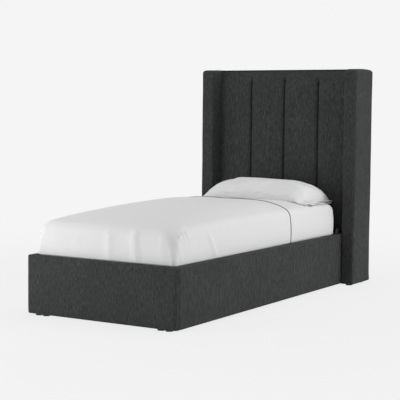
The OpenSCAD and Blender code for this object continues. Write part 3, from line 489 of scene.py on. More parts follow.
def headboard_path():
    """Places up the panel as (y, z): under its lower edge, up the front, over the top and down the back."""
    s = sizes()
    under = 0.015
    low, top = RAIL_HIGH.z + 0.005, BORDER_HIGH.z
    front, back = BORDER_LOW.y, BORDER_HIGH.y
    seam_z = top - 0.15
    path = [(PLY_LOW.y, low)]
    path += arc((front + under, low + under), under, 270, 180, 5)
    path += [(front, z) for z in spread(low + under, seam_z, 26)[1:]]
    path += [(front, z) for z in spread(seam_z, top - s.panel_edge, 26)[1:-1]]
    path += arc((front + s.panel_edge, top - s.panel_edge), s.panel_edge, 180, 90, 8)
    path += [(y, top) for y in spread(front + s.panel_edge, back - s.hem_edge, 8)[1:-1]]
    path += arc((back - s.hem_edge, top - s.hem_edge), s.hem_edge, 90, 0, 4)
    path += [(back, z) for z in spread(top - s.hem_edge, BORDER_LOW.z, 4)[1:]]
    return path


def channel_columns(steps=22):
    """Places across the panel as (x, t, gap).

    t runs from -1 to 1 across a channel, and gap is the distance to its seam.
    """
    columns = []
    for low, high in CHANNELS:
        middle, half = (low.x + high.x) / 2, (high.x - low.x) / 2
        for i in range(steps + 1):
            t = math.sin(math.pi / 2 * (2 * i / steps - 1))
            if columns and i == 0:
                continue
            outer = (low == CHANNELS[0][0] and t < 0) or (low == CHANNELS[-1][0] and t > 0)
            columns.append((middle + half * t, 0.0 if outer else t, half if outer else half * (1 - abs(t))))
    return columns


def build_headboard_front():
    """The padded face of the headboard, drawn in at its seams, with a plain border that goes over the top."""
    s = sizes()
    path, columns = headboard_path(), channel_columns()
    front, top = BORDER_LOW.y, BORDER_HIGH.z

    def place(column, row):
        x, t, gap = columns[column]
        y, z = path[row]
        share = min(1.0, max(0.0, (PLY_LOW.y - y) / (PLY_LOW.y - front)))
        fade = smooth_step(top - z, s.seam_top, s.seam_full)
        drawn_in = s.channel_crown * abs(t) ** 3.5 + s.seam_depth * math.exp(-(gap / s.seam_half) ** 1.4)
        lump = unevenness(Vector((x, 0, z)), 0.11, 0.0016)
        pucker = 0.0010 * math.sin(z / 0.019 + 3 * x) * math.exp(-gap / 0.03) * fade
        rolled = s.top_roll * (1 - smooth_step(top - z, -0.03, 0.13)) * (1 if z < top - 1e-6 else 0)
        return Vector((x, y + share * (fade * drawn_in + lump + pucker + rolled), z))

    bm = grid_mesh(len(columns) - 1, len(path) - 1, place)
    face_out(bm, Vector((0, -1, 0)))
    nodes = [f"channel_pad_{i}" for i in (1, 2, 3, 4)] + ["headboard_border"]
    piece = make_piece("headboard_front", bm, "bed_frame", "charcoal_linen", replaces=nodes)
    thicken(piece, s.linen_thick)


def cut_box(low, high, stations):
    """A box whose faces are cut at stations along each axis."""
    bm = bmesh.new()
    bmesh.ops.create_cube(bm, size=1.0)
    bmesh.ops.scale(bm, verts=bm.verts, vec=high - low)
    bmesh.ops.translate(bm, verts=bm.verts, vec=(high + low) / 2)
    for axis, places in enumerate(stations):
        normal = Vector([1.0 if i == axis else 0.0 for i in range(3)])
        for at in places:
            geometry = bm.verts[:] + bm.edges[:] + bm.faces[:]
            bmesh.ops.bisect_plane(bm, geom=geometry, dist=1e-6, plane_co=normal * at, plane_no=normal)
    return bm


def edge_stations(low, high, radius, cell, steps=5):
    """Stations along an axis: close together in the two rounded edges, and a cell apart between them."""
    near = [radius * (1 - math.tan(math.radians(45 * i / steps))) for i in range(steps)]
    count = max(1, round((high - low - 2 * radius) / cell))
    middle = spread(low + radius, high - radius, count)
    found = [low + d for d in near] + [high - d for d in near] + middle
    return sorted(set(round(v, 6) for v in found if low < v < high))


def rounded(point, low, high, radii):
    """A point of a box moved onto the box with round edges. The radii are for the low and high ends in Z."""
    radius = radii[0] + (radii[1] - radii[0]) * smooth_step(point.z, low.z, low.z + 4 * radii[1])
    inner = Vector([min(max(point[i], low[i] + radius), high[i] - radius) for i in range(3)])
    out = point - inner
    return inner + out.normalized() * radius if out.length > 1e-9 else point


def build_wing_cover():
    """The padded cloth cover of the right wing, with soft edges and a slight arch on top."""
    s = sizes()
    r = s.wing_edge
    low, high = WING_LOW.copy(), WING_HIGH.copy()
    middle_y, half_y = (low.y + high.y) / 2, (high.y - low.y) / 2
    stations = [edge_stations(low[i], high[i], r, (0.02, 0.02, 0.03)[i]) for i in range(3)]
    bm = cut_box(low, high, stations)
    for v in bm.verts:
        p = rounded(v.co, low, high, (0.006, r))
        away = (p.y - middle_y) / half_y
        lift = smooth_step(p.z, high.z - 0.25, high.z)
        drop = (p.y - middle_y) ** 2 / (2 * s.wing_arch) + 0.004 * max(0.0, abs(away) - 0.75) / 0.25
        swell = 0.0018 * (1 - away ** 4) * smooth_step(p.x, low.x + 0.03, high.x)
        wave = unevenness(Vector((p.x, p.y, p.z * 0.7)), 0.12, 0.0016)
        wave *= smooth_step(p.x, low.x + 0.004, low.x + 0.02)
        v.co = p + Vector((swell + wave, 0, -drop * lift))
    turn_outwards(bm)
    return bm


# Rails

def cover_profile():
    """Outline of a rail cover as (depth in from the outer face, height).

    It goes up the padding, over the top and down the lining, and back round the board.
    """
    s = sizes()
    low, top = RAIL_LOW.z, RAIL_HIGH.z
    thick = RAIL_HIGH.x - RAIL_LOW.x
    board_out = RAIL_HIGH.x - SIDE_BOARD_HIGH.x
    board_in = RAIL_HIGH.x - SIDE_BOARD_LOW.x
    board_top = SIDE_BOARD_HIGH.z
    inner_edge = 0.003
    outline = [(board_out, low), (0.006, low)]
    outline += arc((0.004, low + 0.004), 0.004, 270, 180, 3)
    outline += [(0.0, z) for z in spread(low + 0.004, top - s.rail_edge, 14)[1:-1]]
    outline += arc((s.rail_edge, top - s.rail_edge), s.rail_edge, 180, 90, 6)
    outline += [(d, top) for d in spread(s.rail_edge, thick - inner_edge, 5)[1:-1]]
    outline += arc((thick - inner_edge, top - inner_edge), inner_edge, 90, 0, 3)
    outline += [(thick, z) for z in spread(top - inner_edge, low, 6)[1:]]
    outline += [(board_in, low), (board_in, board_top), (board_out, board_top)]
    return outline


def padding_swell(depth, height, along):
    """How far the padding stands out at a place on a rail cover."""
    low, top = RAIL_LOW.z, RAIL_HIGH.z
    share = (height - low) / (top - low)
    crown = 0.0016 * (1 - (2 * share - 1) ** 6)
    return (crown + unevenness(Vector((along, height, 0)), 0.10, 0.0012)) if depth < 0.0005 else 0.0


def swept_cover(stations, place):
    """A cover swept along stations, closed round its profile and at its ends."""
    profile = cover_profile()
    count = len(profile)

    def corner(column, row):
        return place(stations[column], *profile[row % count])

    bm = grid_mesh(len(stations) - 1, count, corner)
    bmesh.ops.remove_doubles(bm, verts=bm.verts, dist=1e-6)
    fill_rims(bm)
    bmesh.ops.recalc_face_normals(bm, faces=bm.faces)
    return bm


# Depth and half width of the dip along the upright seams of the rail covers
SEAM_DIP, SEAM_WIDTH = 0.0034, 0.0032


def seam_dip(distance):
    """How far a cover is drawn in beside a sewn seam."""
    return SEAM_DIP * math.exp(-(distance / SEAM_WIDTH) ** 2)


def build_side_cover():
    """The padded cover of the right side rail, from the corner seam to the headboard."""
    s = sizes()
    foot, head = FOOT_LOW.y, RAIL_HIGH.y
    close = [0.0, 0.0015, 0.003, 0.005, 0.008, 0.013, 0.022]
    stations = close + spread(0.04, head - foot - s.corner_seam, 56)

    def place(station, depth, height):
        start = foot + max(s.corner_seam, depth)
        y = start + station * (head - start) / (head - foot - s.corner_seam)
        out = padding_swell(depth, height, y) - (seam_dip(station) if depth < 0.02 else 0)
        return Vector((RAIL_HIGH.x - depth + out, y, height))

    return swept_cover(stations, place)


def foot_path(depth):
    """The foot cover at a depth: half its width, its foot face, its corner radius and half its straight."""
    s = sizes()
    half, foot = FOOT_HIGH.x, FOOT_LOW.y
    radius = max(s.corner - depth, 0.0)
    middle = half - max(s.corner, depth)
    return half - depth, foot + depth, radius, middle


def build_foot_cover():
    """The padded cover of the foot rail, which goes round both foot corners to the upright seams."""
    s = sizes()
    # Distances from the seam along the short legs, and angles round the corners
    legs, angles = [0.0, 0.0015, 0.003], spread(0, 90, 8)
    left = [("leg", -1, d) for d in legs] + [("corner", -1, a) for a in angles]
    middle = [("foot", 0, f) for f in spread(-1, 1, 44)[1:-1]]
    right = [("corner", 1, a) for a in reversed(angles)] + [("leg", 1, d) for d in reversed(legs)]

    def place(station, depth, height):
        kind, side, value = station
        x_out, y_out, radius, x_mid = foot_path(depth)
        swell = padding_swell(depth, height, value if kind == "foot" else side)
        if kind == "foot":
            return Vector((x_mid * value, y_out - swell, height))
        if kind == "corner":
            a = math.radians(value)
            bow = Vector((side * math.cos(a), -math.sin(a), 0))
            return Vector((side * x_mid, y_out + radius, height)) + bow * (radius + swell)
        y = max(FOOT_LOW.y + s.corner_seam - value, y_out)
        out = swell - (seam_dip(value) if depth < 0.02 else 0)
        return Vector((side * (x_out + out), y, height))

    return swept_cover(left + middle + right, place)


# Bedding

class MattressForm:
    """The outside of the mattress, for skins that lie a distance outside it."""

    # Radii of the corners seen from above, at the bottom and at the head end
    bottom_corner = 0.015
    head_corner = 0.075
    # How far the sides bulge above the rails, here and in the solid
    bulge = 0.010
    solid_bulge = 0.010
    # Heights above the rails at which the bulge begins and is full
    bulge_start = 0.0008
    bulge_full = 0.004
    corner_steps = 20
    # Angle in degrees at which the rounded edge goes over into the crown, and how flat the crown's middle is
    edge_turn = 66
    crown_power = 4.0
    # The crown's slope is longer towards the foot, by this factor
    foot_ease = 1.6
    # How far the bedding lies lower at the foot, and the distance from the foot at which that ends
    foot_drop = 0.018
    foot_drop_end = 0.60
    # How plump its shoulders are, and the distances from the foot at which that begins, is full, and ends
    plump = 0.018
    plump_rise = (0.30, 1.00)
    plump_fall = (1.05, 1.40)
    # How far the pillow presses it in, and the distances from the foot at which that begins and is full
    pillow_dent = 0.016
    dent_rise = (1.36, 1.56)

    def __init__(self, fine=False):
        s = sizes()
        self.fine = fine
        self.low, self.high = MATTRESS_LOW, MATTRESS_HIGH
        self.half_x = self.high.x - self.solid_bulge
        self.foot = self.low.y + self.solid_bulge
        self.half_y = (self.high.y - self.foot) / 2
        self.middle_y = (self.high.y + self.foot) / 2
        self.edge, self.corner, self.crown = s.mattress_edge, s.mattress_corner, s.mattress_crown
        turn = math.radians(self.edge_turn)
        self.turn_in = self.edge * (1 - math.cos(turn))
        self.turn_z = self.high.z - self.crown
        self.edge_z = self.turn_z + self.edge * (1 - math.sin(turn))

    def share(self, inset):
        """1 where the rounded edge ends and the crown begins, and 0 in the middle of the top."""
        wide = self.half_x - self.turn_in
        return 1 - (min(max(inset, self.turn_in), self.half_x) - self.turn_in) / wide

    def height(self, inset):
        """Height of the mattress top at a distance in from its outline."""
        return self.turn_z + self.crown * (1 - self.share(inset) ** self.crown_power)

    def dent(self, p):
        """How far the pillow presses the top of the mattress in at a place."""
        share = self.share(min(self.half_x - abs(p.x), self.half_y - abs(p.y - self.middle_y)))
        return self.pillow_dent * smooth_step(p.y - self.foot, *self.dent_rise) * (1 - share * share)

    def settled(self, p):
        """A point with the bedding as it lies: low at the foot, plump, and pressed in by the pillow."""
        away = p.y - self.foot
        above = min(1.0, max(0.0, (p.z - RAIL_HIGH.z) / (self.edge_z - RAIL_HIGH.z)))
        inset = min(self.half_x - abs(p.x), away)
        full = smooth_step(away, *self.plump_rise) * (1 - smooth_step(away, *self.plump_fall))
        share = self.share(inset)
        rise = self.plump * full * 1.6 * share * (1 - share ** 3)
        drop = self.foot_drop * (1 - smooth_step(away, 0.0, self.foot_drop_end))
        return p + Vector((0, 0, above * (rise - drop - self.dent(p))))

    def line(self, lift, start):
        """The skin's line from the bottom to the middle, as (inset, growth, height)."""
        bottom, turn = self.low.z, self.edge_z - self.edge
        # The lower edge is cut off at a slant, and the side above it is drawn in a little
        points = [(0.005 - 0.25 * (start - bottom), lift, start)]
        rim = RAIL_HIGH.z
        levels = spread(max(start + 0.01, bottom + 0.014), rim + self.bulge_start, 4) + [rim + 0.0025]
        for z in levels + spread(rim + self.bulge_full, turn, 38 if self.fine else 18):
            draw_in = 0.0015 * (1 - smooth_step(z, bottom + 0.06, bottom + 0.12))
            points.append((draw_in, lift, z))
        for t in spread(0, self.edge_turn, 10)[1:]:
            a = math.radians(t)
            points.append((self.edge * (1 - math.cos(a)), lift * math.cos(a),
                           turn + (self.edge + lift) * math.sin(a)))
        steep = self.crown * self.crown_power / (self.half_x - self.turn_in)
        for inset in spread(self.turn_in, self.half_x - 0.002, 32)[1:]:
            a = math.atan(steep * self.share(inset) ** (self.crown_power - 1))
            points.append((inset, lift * math.sin(a), self.height(inset) + lift * math.cos(a)))
        return points

    def swell(self, z):
        """How far the sides bulge: little inside the box of rails, and most just above its edge."""
        rim = RAIL_HIGH.z
        rise = smooth_step(z, rim + self.bulge_start, rim + self.bulge_full)
        return (0.1 + 0.9 * rise) * self.bulge * (1 - smooth_step(z, rim + 0.08, self.edge_z - 0.01))

    def reach(self, inset, grow, z):
        """Half of the width of the skin at one place of its line."""
        return self.half_x - inset + grow + self.swell(z)

    def outline(self, inset, grow, z):
        """Points round the skin at one place of its line."""
        a, swell = self.reach(inset, grow, z), self.swell(z)
        b = self.half_y - inset + grow
        eased = max(0.0, inset - self.turn_in) * (self.foot_ease - 1)
        share = min(1.0, max(0.0, (z - RAIL_HIGH.z) / (self.edge_z - RAIL_HIGH.z)))
        low_corner = self.bottom_corner + (self.corner - self.bottom_corner) * share

        def on_corner(quarter, degrees):
            sx, sy = ((1, 1), (-1, 1), (-1, -1), (1, -1))[quarter % 4]
            here = min(a - 0.001, (self.head_corner if sy > 0 else low_corner) + 0.8 * inset + grow)
            end_y = b + (swell - eased if sy < 0 else 0)
            angle = math.radians(degrees)
            return Vector((sx * (a - here) + here * math.cos(angle),
                           self.middle_y + sy * (end_y - here) + here * math.sin(angle), z))

        points = []
        for quarter in range(4):
            first, last = 90 * quarter, 90 * quarter + 90
            points += [on_corner(quarter, degrees) for degrees in spread(first, last, self.corner_steps)]
            points += self.between(points[-1], on_corner(quarter + 1, last), quarter)
        return points

    def between(self, start, end, quarter):
        """Points on a straight side of the outline, close together near the foot where the sheet creases."""
        if not self.fine:
            return [start.lerp(end, i / 90) for i in range(1, 90)]
        if quarter % 2 == 0:
            return [start.lerp(end, i / 120) for i in range(1, 120)]
        shares = [0.20 * i / 80 for i in range(1, 81)] + [0.20 + 0.80 * i / 110 for i in range(1, 110)]
        if quarter == 1:
            shares = [1 - share for share in reversed(shares)]
        return [start.lerp(end, share) for share in shares]

    def skin(self, lift, start, shape=None):
        """A closed-topped mesh of the skin, open at the bottom. shape moves each point."""
        rings = [self.outline(*p) for p in self.line(lift, start)]
        count = len(rings[0])

        def place(column, row):
            point = rings[row][column % count]
            return self.settled(shape(point) if shape else point)

        bm = grid_mesh(count, len(rings) - 1, place)
        bmesh.ops.remove_doubles(bm, verts=bm.verts, dist=2e-5)
        bmesh.ops.holes_fill(bm, edges=[e for e in bm.edges if e.is_boundary and min(
            v.co.z for v in e.verts) > self.edge_z], sides=0)
        face_out(bm, Vector((0, 0, 1)))
        return bm


def outward(form, p):
    """Direction square to the side of the mattress, or up on its top."""
    core_x = form.half_x - form.corner
    core_y = form.half_y - form.corner
    side = Vector((p.x - min(max(p.x, -core_x), core_x),
                   p.y - form.middle_y - min(max(p.y - form.middle_y, -core_y), core_y), 0))
    up = smooth_step(p.z, form.edge_z - form.edge, form.edge_z)
    flat = side.normalized() if side.length > 1e-6 else Vector((0, 0, 0))
    return (flat * (1 - up) + Vector((0, 0, up))).normalized()


def ridge(p, a, b, width):
    """Height from 0 to 1 of a crease that runs from a to b and fades at its ends."""
    line = b - a
    t = (p - a).dot(line) / line.length_squared
    if not -0.35 < t < 1.35:
        return 0.0
    near = a + line * min(1.0, max(0.0, t))
    fade = smooth_step(t, -0.3, 0.25) * (1 - smooth_step(t, 0.75, 1.3))
    return math.exp(-((p - near).length / width) ** 2) * fade


# Creases in each side of the top sheet, most of them where it is folded in at the foot corner: distance from
# the foot and height of one end, the same of the other end, width and depth
SIDE_CREASES = (
    (0.036, 0.520, 0.064, 0.470, 0.0070, 0.0090),
    (0.066, 0.535, 0.096, 0.458, 0.0065, 0.0110),
    (0.101, 0.535, 0.134, 0.462, 0.0070, 0.0100),
    (0.126, 0.468, 0.164, 0.420, 0.0070, 0.0055),
    (0.184, 0.455, 0.202, 0.410, 0.0060, 0.0040),
    (0.020, 0.480, 0.060, 0.345, 0.0160, 0.0050),
    (0.330, 0.490, 0.412, 0.345, 0.0160, 0.0095),
    (0.503, 0.380, 0.532, 0.345, 0.0080, 0.0050),
    (1.142, 0.380, 1.196, 0.345, 0.0080, 0.0065),
    (1.175, 0.376, 1.215, 0.350, 0.0070, 0.0045),
)
# Folds down the foot side of the top sheet: place across the bed, lean and depth
FOOT_FOLDS = (
    (0.035, 0.004, 0.0065),
    (0.200, 0.014, 0.0095),
    (-0.170, -0.006, 0.0018),
    (0.375, 0.012, 0.0045),
    (-0.330, -0.010, 0.0015),
)
# Heights of their upper and lower ends, and their width
FOLD_TOP, FOLD_FOOT, FOLD_WIDTH = 0.520, 0.350, 0.026


def sheet_creases(form):
    """Creases of the top sheet as (from, to, width, height), down both sides and across the foot."""
    creases = []
    for side in (1, -1):
        x = side * form.half_x
        for away, high, to_away, low, width, height in SIDE_CREASES:
            ends = Vector((x, form.foot + away, high)), Vector((x, form.foot + to_away, low))
            creases.append((*ends, width, height))
    for at, lean, height in FOOT_FOLDS:
        ends = Vector((at, form.foot, FOLD_TOP)), Vector((at + lean, form.foot, FOLD_FOOT))
        creases.append((*ends, FOLD_WIDTH, height))
    return creases


def sheet_shape(form):
    """A function that moves a point of a skin by the top sheet's creases and soft waves."""
    creases = sheet_creases(form)

    def shape(p):
        out = outward(form, p)
        on_side = 1 - smooth_step(p.z, form.edge_z - 0.02, form.edge_z + 0.01)
        tuck = smooth_step(p.z, form.low.z + 0.01, form.low.z + 0.05)
        waves = 0.0011 * (1 + noise.noise(Vector((p.x * 3.0, p.y * 5.0, p.z * 1.6))))
        waves += 0.0007 * (1 + noise.noise(Vector((p.x * 9.0, p.y * 9.0, p.z * 3.0))))
        crease = sum(height * ridge(p, a, b, width) for a, b, width, height in creases)
        move = waves * tuck + crease * (0.35 + 0.65 * on_side) * tuck
        return p + out * max(move, -0.0012)
    return shape


def build_mattress():
    """The bare mattress under its sheets, in ticking with a tape round its lower edge."""
    form = MattressForm()

    def taped(p):
        tape = math.exp(-((p.z - form.low.z - 0.012) / 0.005) ** 2)
        return p + outward(form, p) * 0.0002 * tape

    bm = form.skin(0.0, form.low.z + 0.0002, taped)
    fill_rims(bm)
    bmesh.ops.recalc_face_normals(bm, faces=bm.faces)
    piece = make_piece("mattress_core", bm, "platform", "mattress_ticking", replaces=["mattress"])


def build_fitted_sheet():
    """The fitted sheet over the whole mattress, with soft waves at its bare head end."""
    form, s = MattressForm(), sizes()
    edge = SHEET_HIGH.y

    def shape(p):
        bare = smooth_step(p.y, edge - 0.005, edge + 0.05)
        out = outward(form, p)
        wave = 0.0016 * (1 + noise.noise(Vector((p.x * 7.0, p.y * 6.0, p.z * 3.0))))
        tuck = smooth_step(p.z, form.low.z + 0.01, form.low.z + 0.05)
        return p + out * wave * bare * tuck

    bm = form.skin(s.fitted_lift, form.low.z + 0.001, shape)
    piece = make_piece("fitted_sheet_cloth", bm, "platform", "white_cotton", replaces=["fitted_sheet"])
    thicken(piece, s.sheet_thick)


def build_top_sheet():
    """The top sheet, tucked in round the foot and both sides, and cut off at its piped edge."""
    form, s = MattressForm(fine=True), sizes()
    edge = SHEET_HIGH.y
    bm = form.skin(s.sheet_lift, form.low.z + 0.006, sheet_shape(form))
    geometry = bm.verts[:] + bm.edges[:] + bm.faces[:]
    bmesh.ops.bisect_plane(bm, geom=geometry, plane_co=(0, edge, 0), plane_no=(0, 1, 0), clear_outer=True)
    piece = make_piece("top_sheet_cloth", bm, "platform", "white_cotton", replaces=["top_sheet"])
    thicken(piece, s.sheet_thick)


def build_piping():
    """The dark piping sewn along the edge of the top sheet."""
    form, s = MattressForm(fine=True), sizes()
    shape = sheet_shape(form)
    y = (PIPING_LOW.y + PIPING_HIGH.y) / 2
    half = []
    for inset, grow, z in form.line(s.sheet_lift - s.sheet_thick / 2, form.low.z + 0.008):
        half.append(form.settled(shape(Vector((form.reach(inset, grow, z), y, z)))))
    path = half + [Vector((-p.x, p.y, p.z)) for p in reversed(half)]
    curve = bpy.data.curves.new("piping_path", "CURVE")
    curve.dimensions = "3D"
    curve.bevel_depth = s.piping / 2
    curve.bevel_resolution = 3
    curve.use_fill_caps = True
    spline = curve.splines.new("POLY")
    spline.points.add(len(path) - 1)
    for point, at in zip(spline.points, path):
        point.co = (*at, 1.0)
    carrier = bpy.data.objects.new("piping_path", curve)
    bm = bmesh.new()
    bm.from_mesh(carrier.to_mesh())
    carrier.to_mesh_clear()
    bpy.data.objects.remove(carrier)
    turn_outwards(bm)
    make_piece("top_sheet_piping", bm, "platform", "grey_piping", replaces=["sheet_piping"])


# Creases on the front of the pillow as (from, to, height), by their place across the bed and rise of the case
PILLOW_CREASES = [
    (Vector((x, 0, rise)), Vector((to_x, 0, to_rise)), height) for x, rise, to_x, to_rise, height in (
        (-0.360, 0.010, -0.335, 0.045, 0.0110),
        (-0.290, 0.026, -0.060, 0.018, 0.0110),
        (-0.270, 0.050, -0.120, 0.040, 0.0080),
        (-0.085, 0.050, -0.015, 0.090, 0.0110),
        (-0.020, 0.022, 0.110, 0.044, 0.0130),
        (0.080, 0.006, 0.180, 0.044, 0.0140),
        (0.150, 0.004, 0.215, 0.030, 0.0110),
        (0.190, 0.012, 0.330, 0.046, 0.0120),
        (0.300, 0.010, 0.370, 0.030, 0.0100),
    )
]
PILLOW_CREASE_WIDTH = 0.011
# Thickness of the filled case in its middle, of its sewn edge, and its distance from the fitted sheet
PILLOW_BULK, PILLOW_SEAM, PILLOW_REST = 0.102, 0.004, 0.0035


def pillow_form(form):
    """Places on the pillow as a function of u across, v along and the side, -1 below and 1 above."""
    s = sizes()
    half_x = (PILLOW_HIGH.x - PILLOW_LOW.x) / 2
    half_y = (PILLOW_HIGH.y - PILLOW_LOW.y) / 2
    middle = (PILLOW_HIGH + PILLOW_LOW) / 2

    def place(u, v, side):
        corner = smooth_step(abs(u), 0.80, 1.0) * smooth_step(abs(v), 0.60, 1.0)
        x = middle.x + half_x * u * (1 - 0.02 * (1 - v * v) - 0.045 * corner)
        y = middle.y + half_y * v * (1 - 0.04 * (1 - u * u) - 0.12 * corner)
        seat = place_seat(form, Vector((x, y, 0)))
        w = min(1.0, abs(u) * half_x / (half_x - s.pillow_flap))
        # The filling lies a little lower and fuller towards the right end
        rise = (PILLOW_BULK + form.dent(Vector((x, y, 0)))) * (1 - 0.05 * smooth_step(u, -0.2, 0.5))
        rise *= (1 - w ** (16 if u > 0 else 8)) ** 0.55 * (1 - abs(v) ** 2.6) ** 0.60
        flap = 0.004 * smooth_step(abs(u), 0.85, 1.0) * noise.noise(Vector((x * 4, y * 16, 0)))
        if side < 0:
            return Vector((x, y, seat + 0.10 * rise * (abs(v) ** 4 + w ** 6) + max(0.0, flap)))
        crease = 0.0
        if v < 0:
            at = Vector((x, 0, rise))
            crease = sum(height * ridge(at, a, b, PILLOW_CREASE_WIDTH) for a, b, height in PILLOW_CREASES)
        z = seat + PILLOW_SEAM + rise + 0.6 * crease + max(0.0, flap)
        return Vector((x, y - crease * (1 - 0.5 * rise / PILLOW_BULK), z))

    return place


def build_pillow():
    """The pillow: its case is a little too large for the filling, and has a flap at each end."""
    form = MattressForm()
    place = pillow_form(form)
    columns, rows = 96, 54

    def spaced(i, count):
        share = 2 * i / count - 1
        return 0.55 * share + 0.45 * math.sin(math.pi / 2 * share)

    def shape(i, j):
        side = 1 if j <= rows else -1
        row = j if j <= rows else 2 * rows - j
        return place(spaced(i, columns), spaced(row, rows), side)

    bm = grid_mesh(columns, 2 * rows, shape)
    bmesh.ops.remove_doubles(bm, verts=bm.verts, dist=1e-6)
    close_ends_of_pillow(bm)
    bmesh.ops.recalc_face_normals(bm, faces=bm.faces)
    crumple(bm, 0.007, lambda p: p.z < place_seat(form, p) + 0.004)
    piece = make_piece("pillow_case", bm, "platform", "white_cotton", replaces=["pillow"])
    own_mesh(piece)


def place_seat(form, p):
    """Height on which the pillow lies at a point."""
    inset = form.half_x - abs(p.x)
    seat = form.height(min(inset, form.half_y - abs(p.y - form.middle_y)))
    if inset < form.turn_in:
        along = 1 - max(inset, 0.006) / form.edge
        seat = form.edge_z - form.edge * (1 - math.sqrt(1 - along * along))
    return seat - form.dent(p) + sizes().fitted_lift + PILLOW_REST


def crumple(bm, cap, held):
    """Blows up a case as cloth that is too large for its filling. No point moves by more than the cap."""
    mesh = bpy.data.meshes.new("case")
    bm.to_mesh(mesh)
    case = put_in_scene("case", mesh)
    scene = bpy.context.scene
    pinned = case.vertex_groups.new(name="held")
    pinned.add([v.index for v in mesh.vertices if held(v.co)], 1.0, "REPLACE")
    cloth = case.modifiers.new("Cloth", "CLOTH")
    settings = cloth.settings
    settings.quality = 3
    settings.mass = 0.25
    settings.use_pressure = True
    settings.uniform_pressure_force = 4.0
    settings.shrink_min = -0.05
    settings.tension_stiffness = settings.compression_stiffness = 20.0
    settings.bending_stiffness = 0.05
    settings.vertex_group_mass = "held"
    settings.effector_weights.gravity = 0.0
    for frame_number in range(1, 21):
        scene.frame_set(frame_number)
    graph = bpy.context.evaluated_depsgraph_get()
    moved = [v.co.copy() for v in case.evaluated_get(graph).to_mesh().vertices]
    bpy.data.objects.remove(case)
    bm.verts.ensure_lookup_table()
    for v, to in zip(bm.verts, moved):
        step = to - v.co
        v.co += step * min(1.0, cap / max(step.length, 1e-9))
    scene.frame_set(1)


def close_ends_of_pillow(bm):
    """Joins the upper and lower edge of the case at its two ends."""
    bmesh.ops.remove_doubles(bm, verts=[v for v in bm.verts if v.is_boundary], dist=1e-4)
    fill_rims(bm)


# Back cloth and strap

def build_back_cloth():
    """Thin backing cloth, stapled along its edges, which puckers a little between the staples."""
    low, high = BACK_LOW, BACK_HIGH
    columns, rows = 80, 104

    def place(column, row):
        x = low.x + (high.x - low.x) * column / columns
        z = low.z + (high.z - low.z) * row / rows
        inside = min(x - low.x, high.x - x, z - low.z, high.z - z)
        slack = smooth_step(inside, 0.0, 0.05)
        pucker = 0.0012 * math.sin(x / 0.010) * math.exp(-min(z - low.z, high.z - z) / 0.04)
        wave = 0.0010 * (1 + noise.noise(Vector((x * 5, 0, z * 3))))
        return Vector((x, high.y + slack * wave + pucker * slack, z))

    bm = grid_mesh(columns, rows, place)
    face_out(bm, Vector((0, 1, 0)))
    piece = make_piece("back_cloth", bm, "bed_frame", "black_backing", replaces=["headboard_back_cloth"])
    thicken(piece, sizes().backing_thick)


def build_strap():
    """The strap of webbing at the foot of the platform, by which it is lifted."""
    low, high = STRAP_LOW, STRAP_HIGH
    columns, rows = 8, 24

    def place(column, row):
        x = low.x + (high.x - low.x) * column / columns
        z = low.z + (high.z - low.z) * row / rows
        y = (low.y + high.y) / 2 + 0.0003 * math.sin(z / 0.02)
        return Vector((x, y, z))

    bm = grid_mesh(columns, rows, place)
    face_out(bm, Vector((0, -1, 0)))
    piece = make_piece("pull_strap_webbing", bm, "platform", "webbing", replaces=["pull_strap"])
    thicken(piece, sizes().webbing_thick, 0.0)


# Stage

def camera_white(tree, shader, colour_name, share):
    """Shows a shader in a set colour to the camera and in reflections, by a share."""
    seen = add_node(tree, "ShaderNodeLightPath").outputs
    straight = arithmetic(tree, "MAXIMUM", seen["Is Camera Ray"], seen["Is Glossy Ray"])
    factor = arithmetic(tree, "MULTIPLY", straight, share)
    even = {"Color": rgba(colour_name), "Strength": 1.0}
    flat = add_node(tree, "ShaderNodeEmission", even).outputs["Emission"]
    return add_node(tree, "ShaderNodeMixShader", {0: factor, 1: shader, 2: flat}).outputs["Shader"]


def build_floor():
    """A wide pale floor that keeps the shadow of the bed."""
    bm = bmesh.new()
    bmesh.ops.create_grid(bm, x_segments=8, y_segments=8, size=60.0)
    mesh = bpy.data.meshes.new("studio_floor")
    bm.to_mesh(mesh)
    bm.free()
    floor = put_in_scene("studio_floor", mesh)
    material, tree, shader, place = start_material("studio_floor", "floor", 0.9)
    shader.inputs["Specular IOR Level"].default_value = 0.0
    output = tree.nodes["Material Output"]
    away = add_node(tree, "ShaderNodeVectorMath", {0: place}, operation="LENGTH").outputs["Value"]
    shown = camera_white(tree, shader.outputs["BSDF"], "floor", remap(tree, away, 1.5, 4.0, 0.86, 1.0))
    tree.links.new(shown, output.inputs["Surface"])
    mesh.materials.append(material)


def add_softbox(name, azimuth, elevation, distance, size, power):
    """A large square lamp that faces the bed from an azimuth round it, with 0 in front of the foot."""
    lamp = bpy.data.lights.new(name, "AREA")
    lamp.shape = "SQUARE"
    lamp.size = size
    lamp.energy = power
    box = put_in_scene(name, lamp)
    a, e = math.radians(azimuth), math.radians(elevation)
    back = Vector((math.sin(a) * math.cos(e), -math.cos(a) * math.cos(e), math.sin(e)))
    box.location = Vector((0, 0, 0.6)) + back * distance
    box.rotation_euler = back.to_track_quat("Z", "Y").to_euler()


# Azimuth from the front of the foot and elevation in degrees, distance and size in metres, power in watts
SOFTBOXES = {
    "side_softbox": (104, 3, 9.0, 4.5, 385),
    "foot_softbox": (-32, 4, 3.9, 2.2, 60),
    "top_softbox": (150, 76, 5.0, 3.0, 70),
    "back_softbox": (200, 20, 6.0, 3.0, 40),
}
WORLD_STRENGTH = 0.42


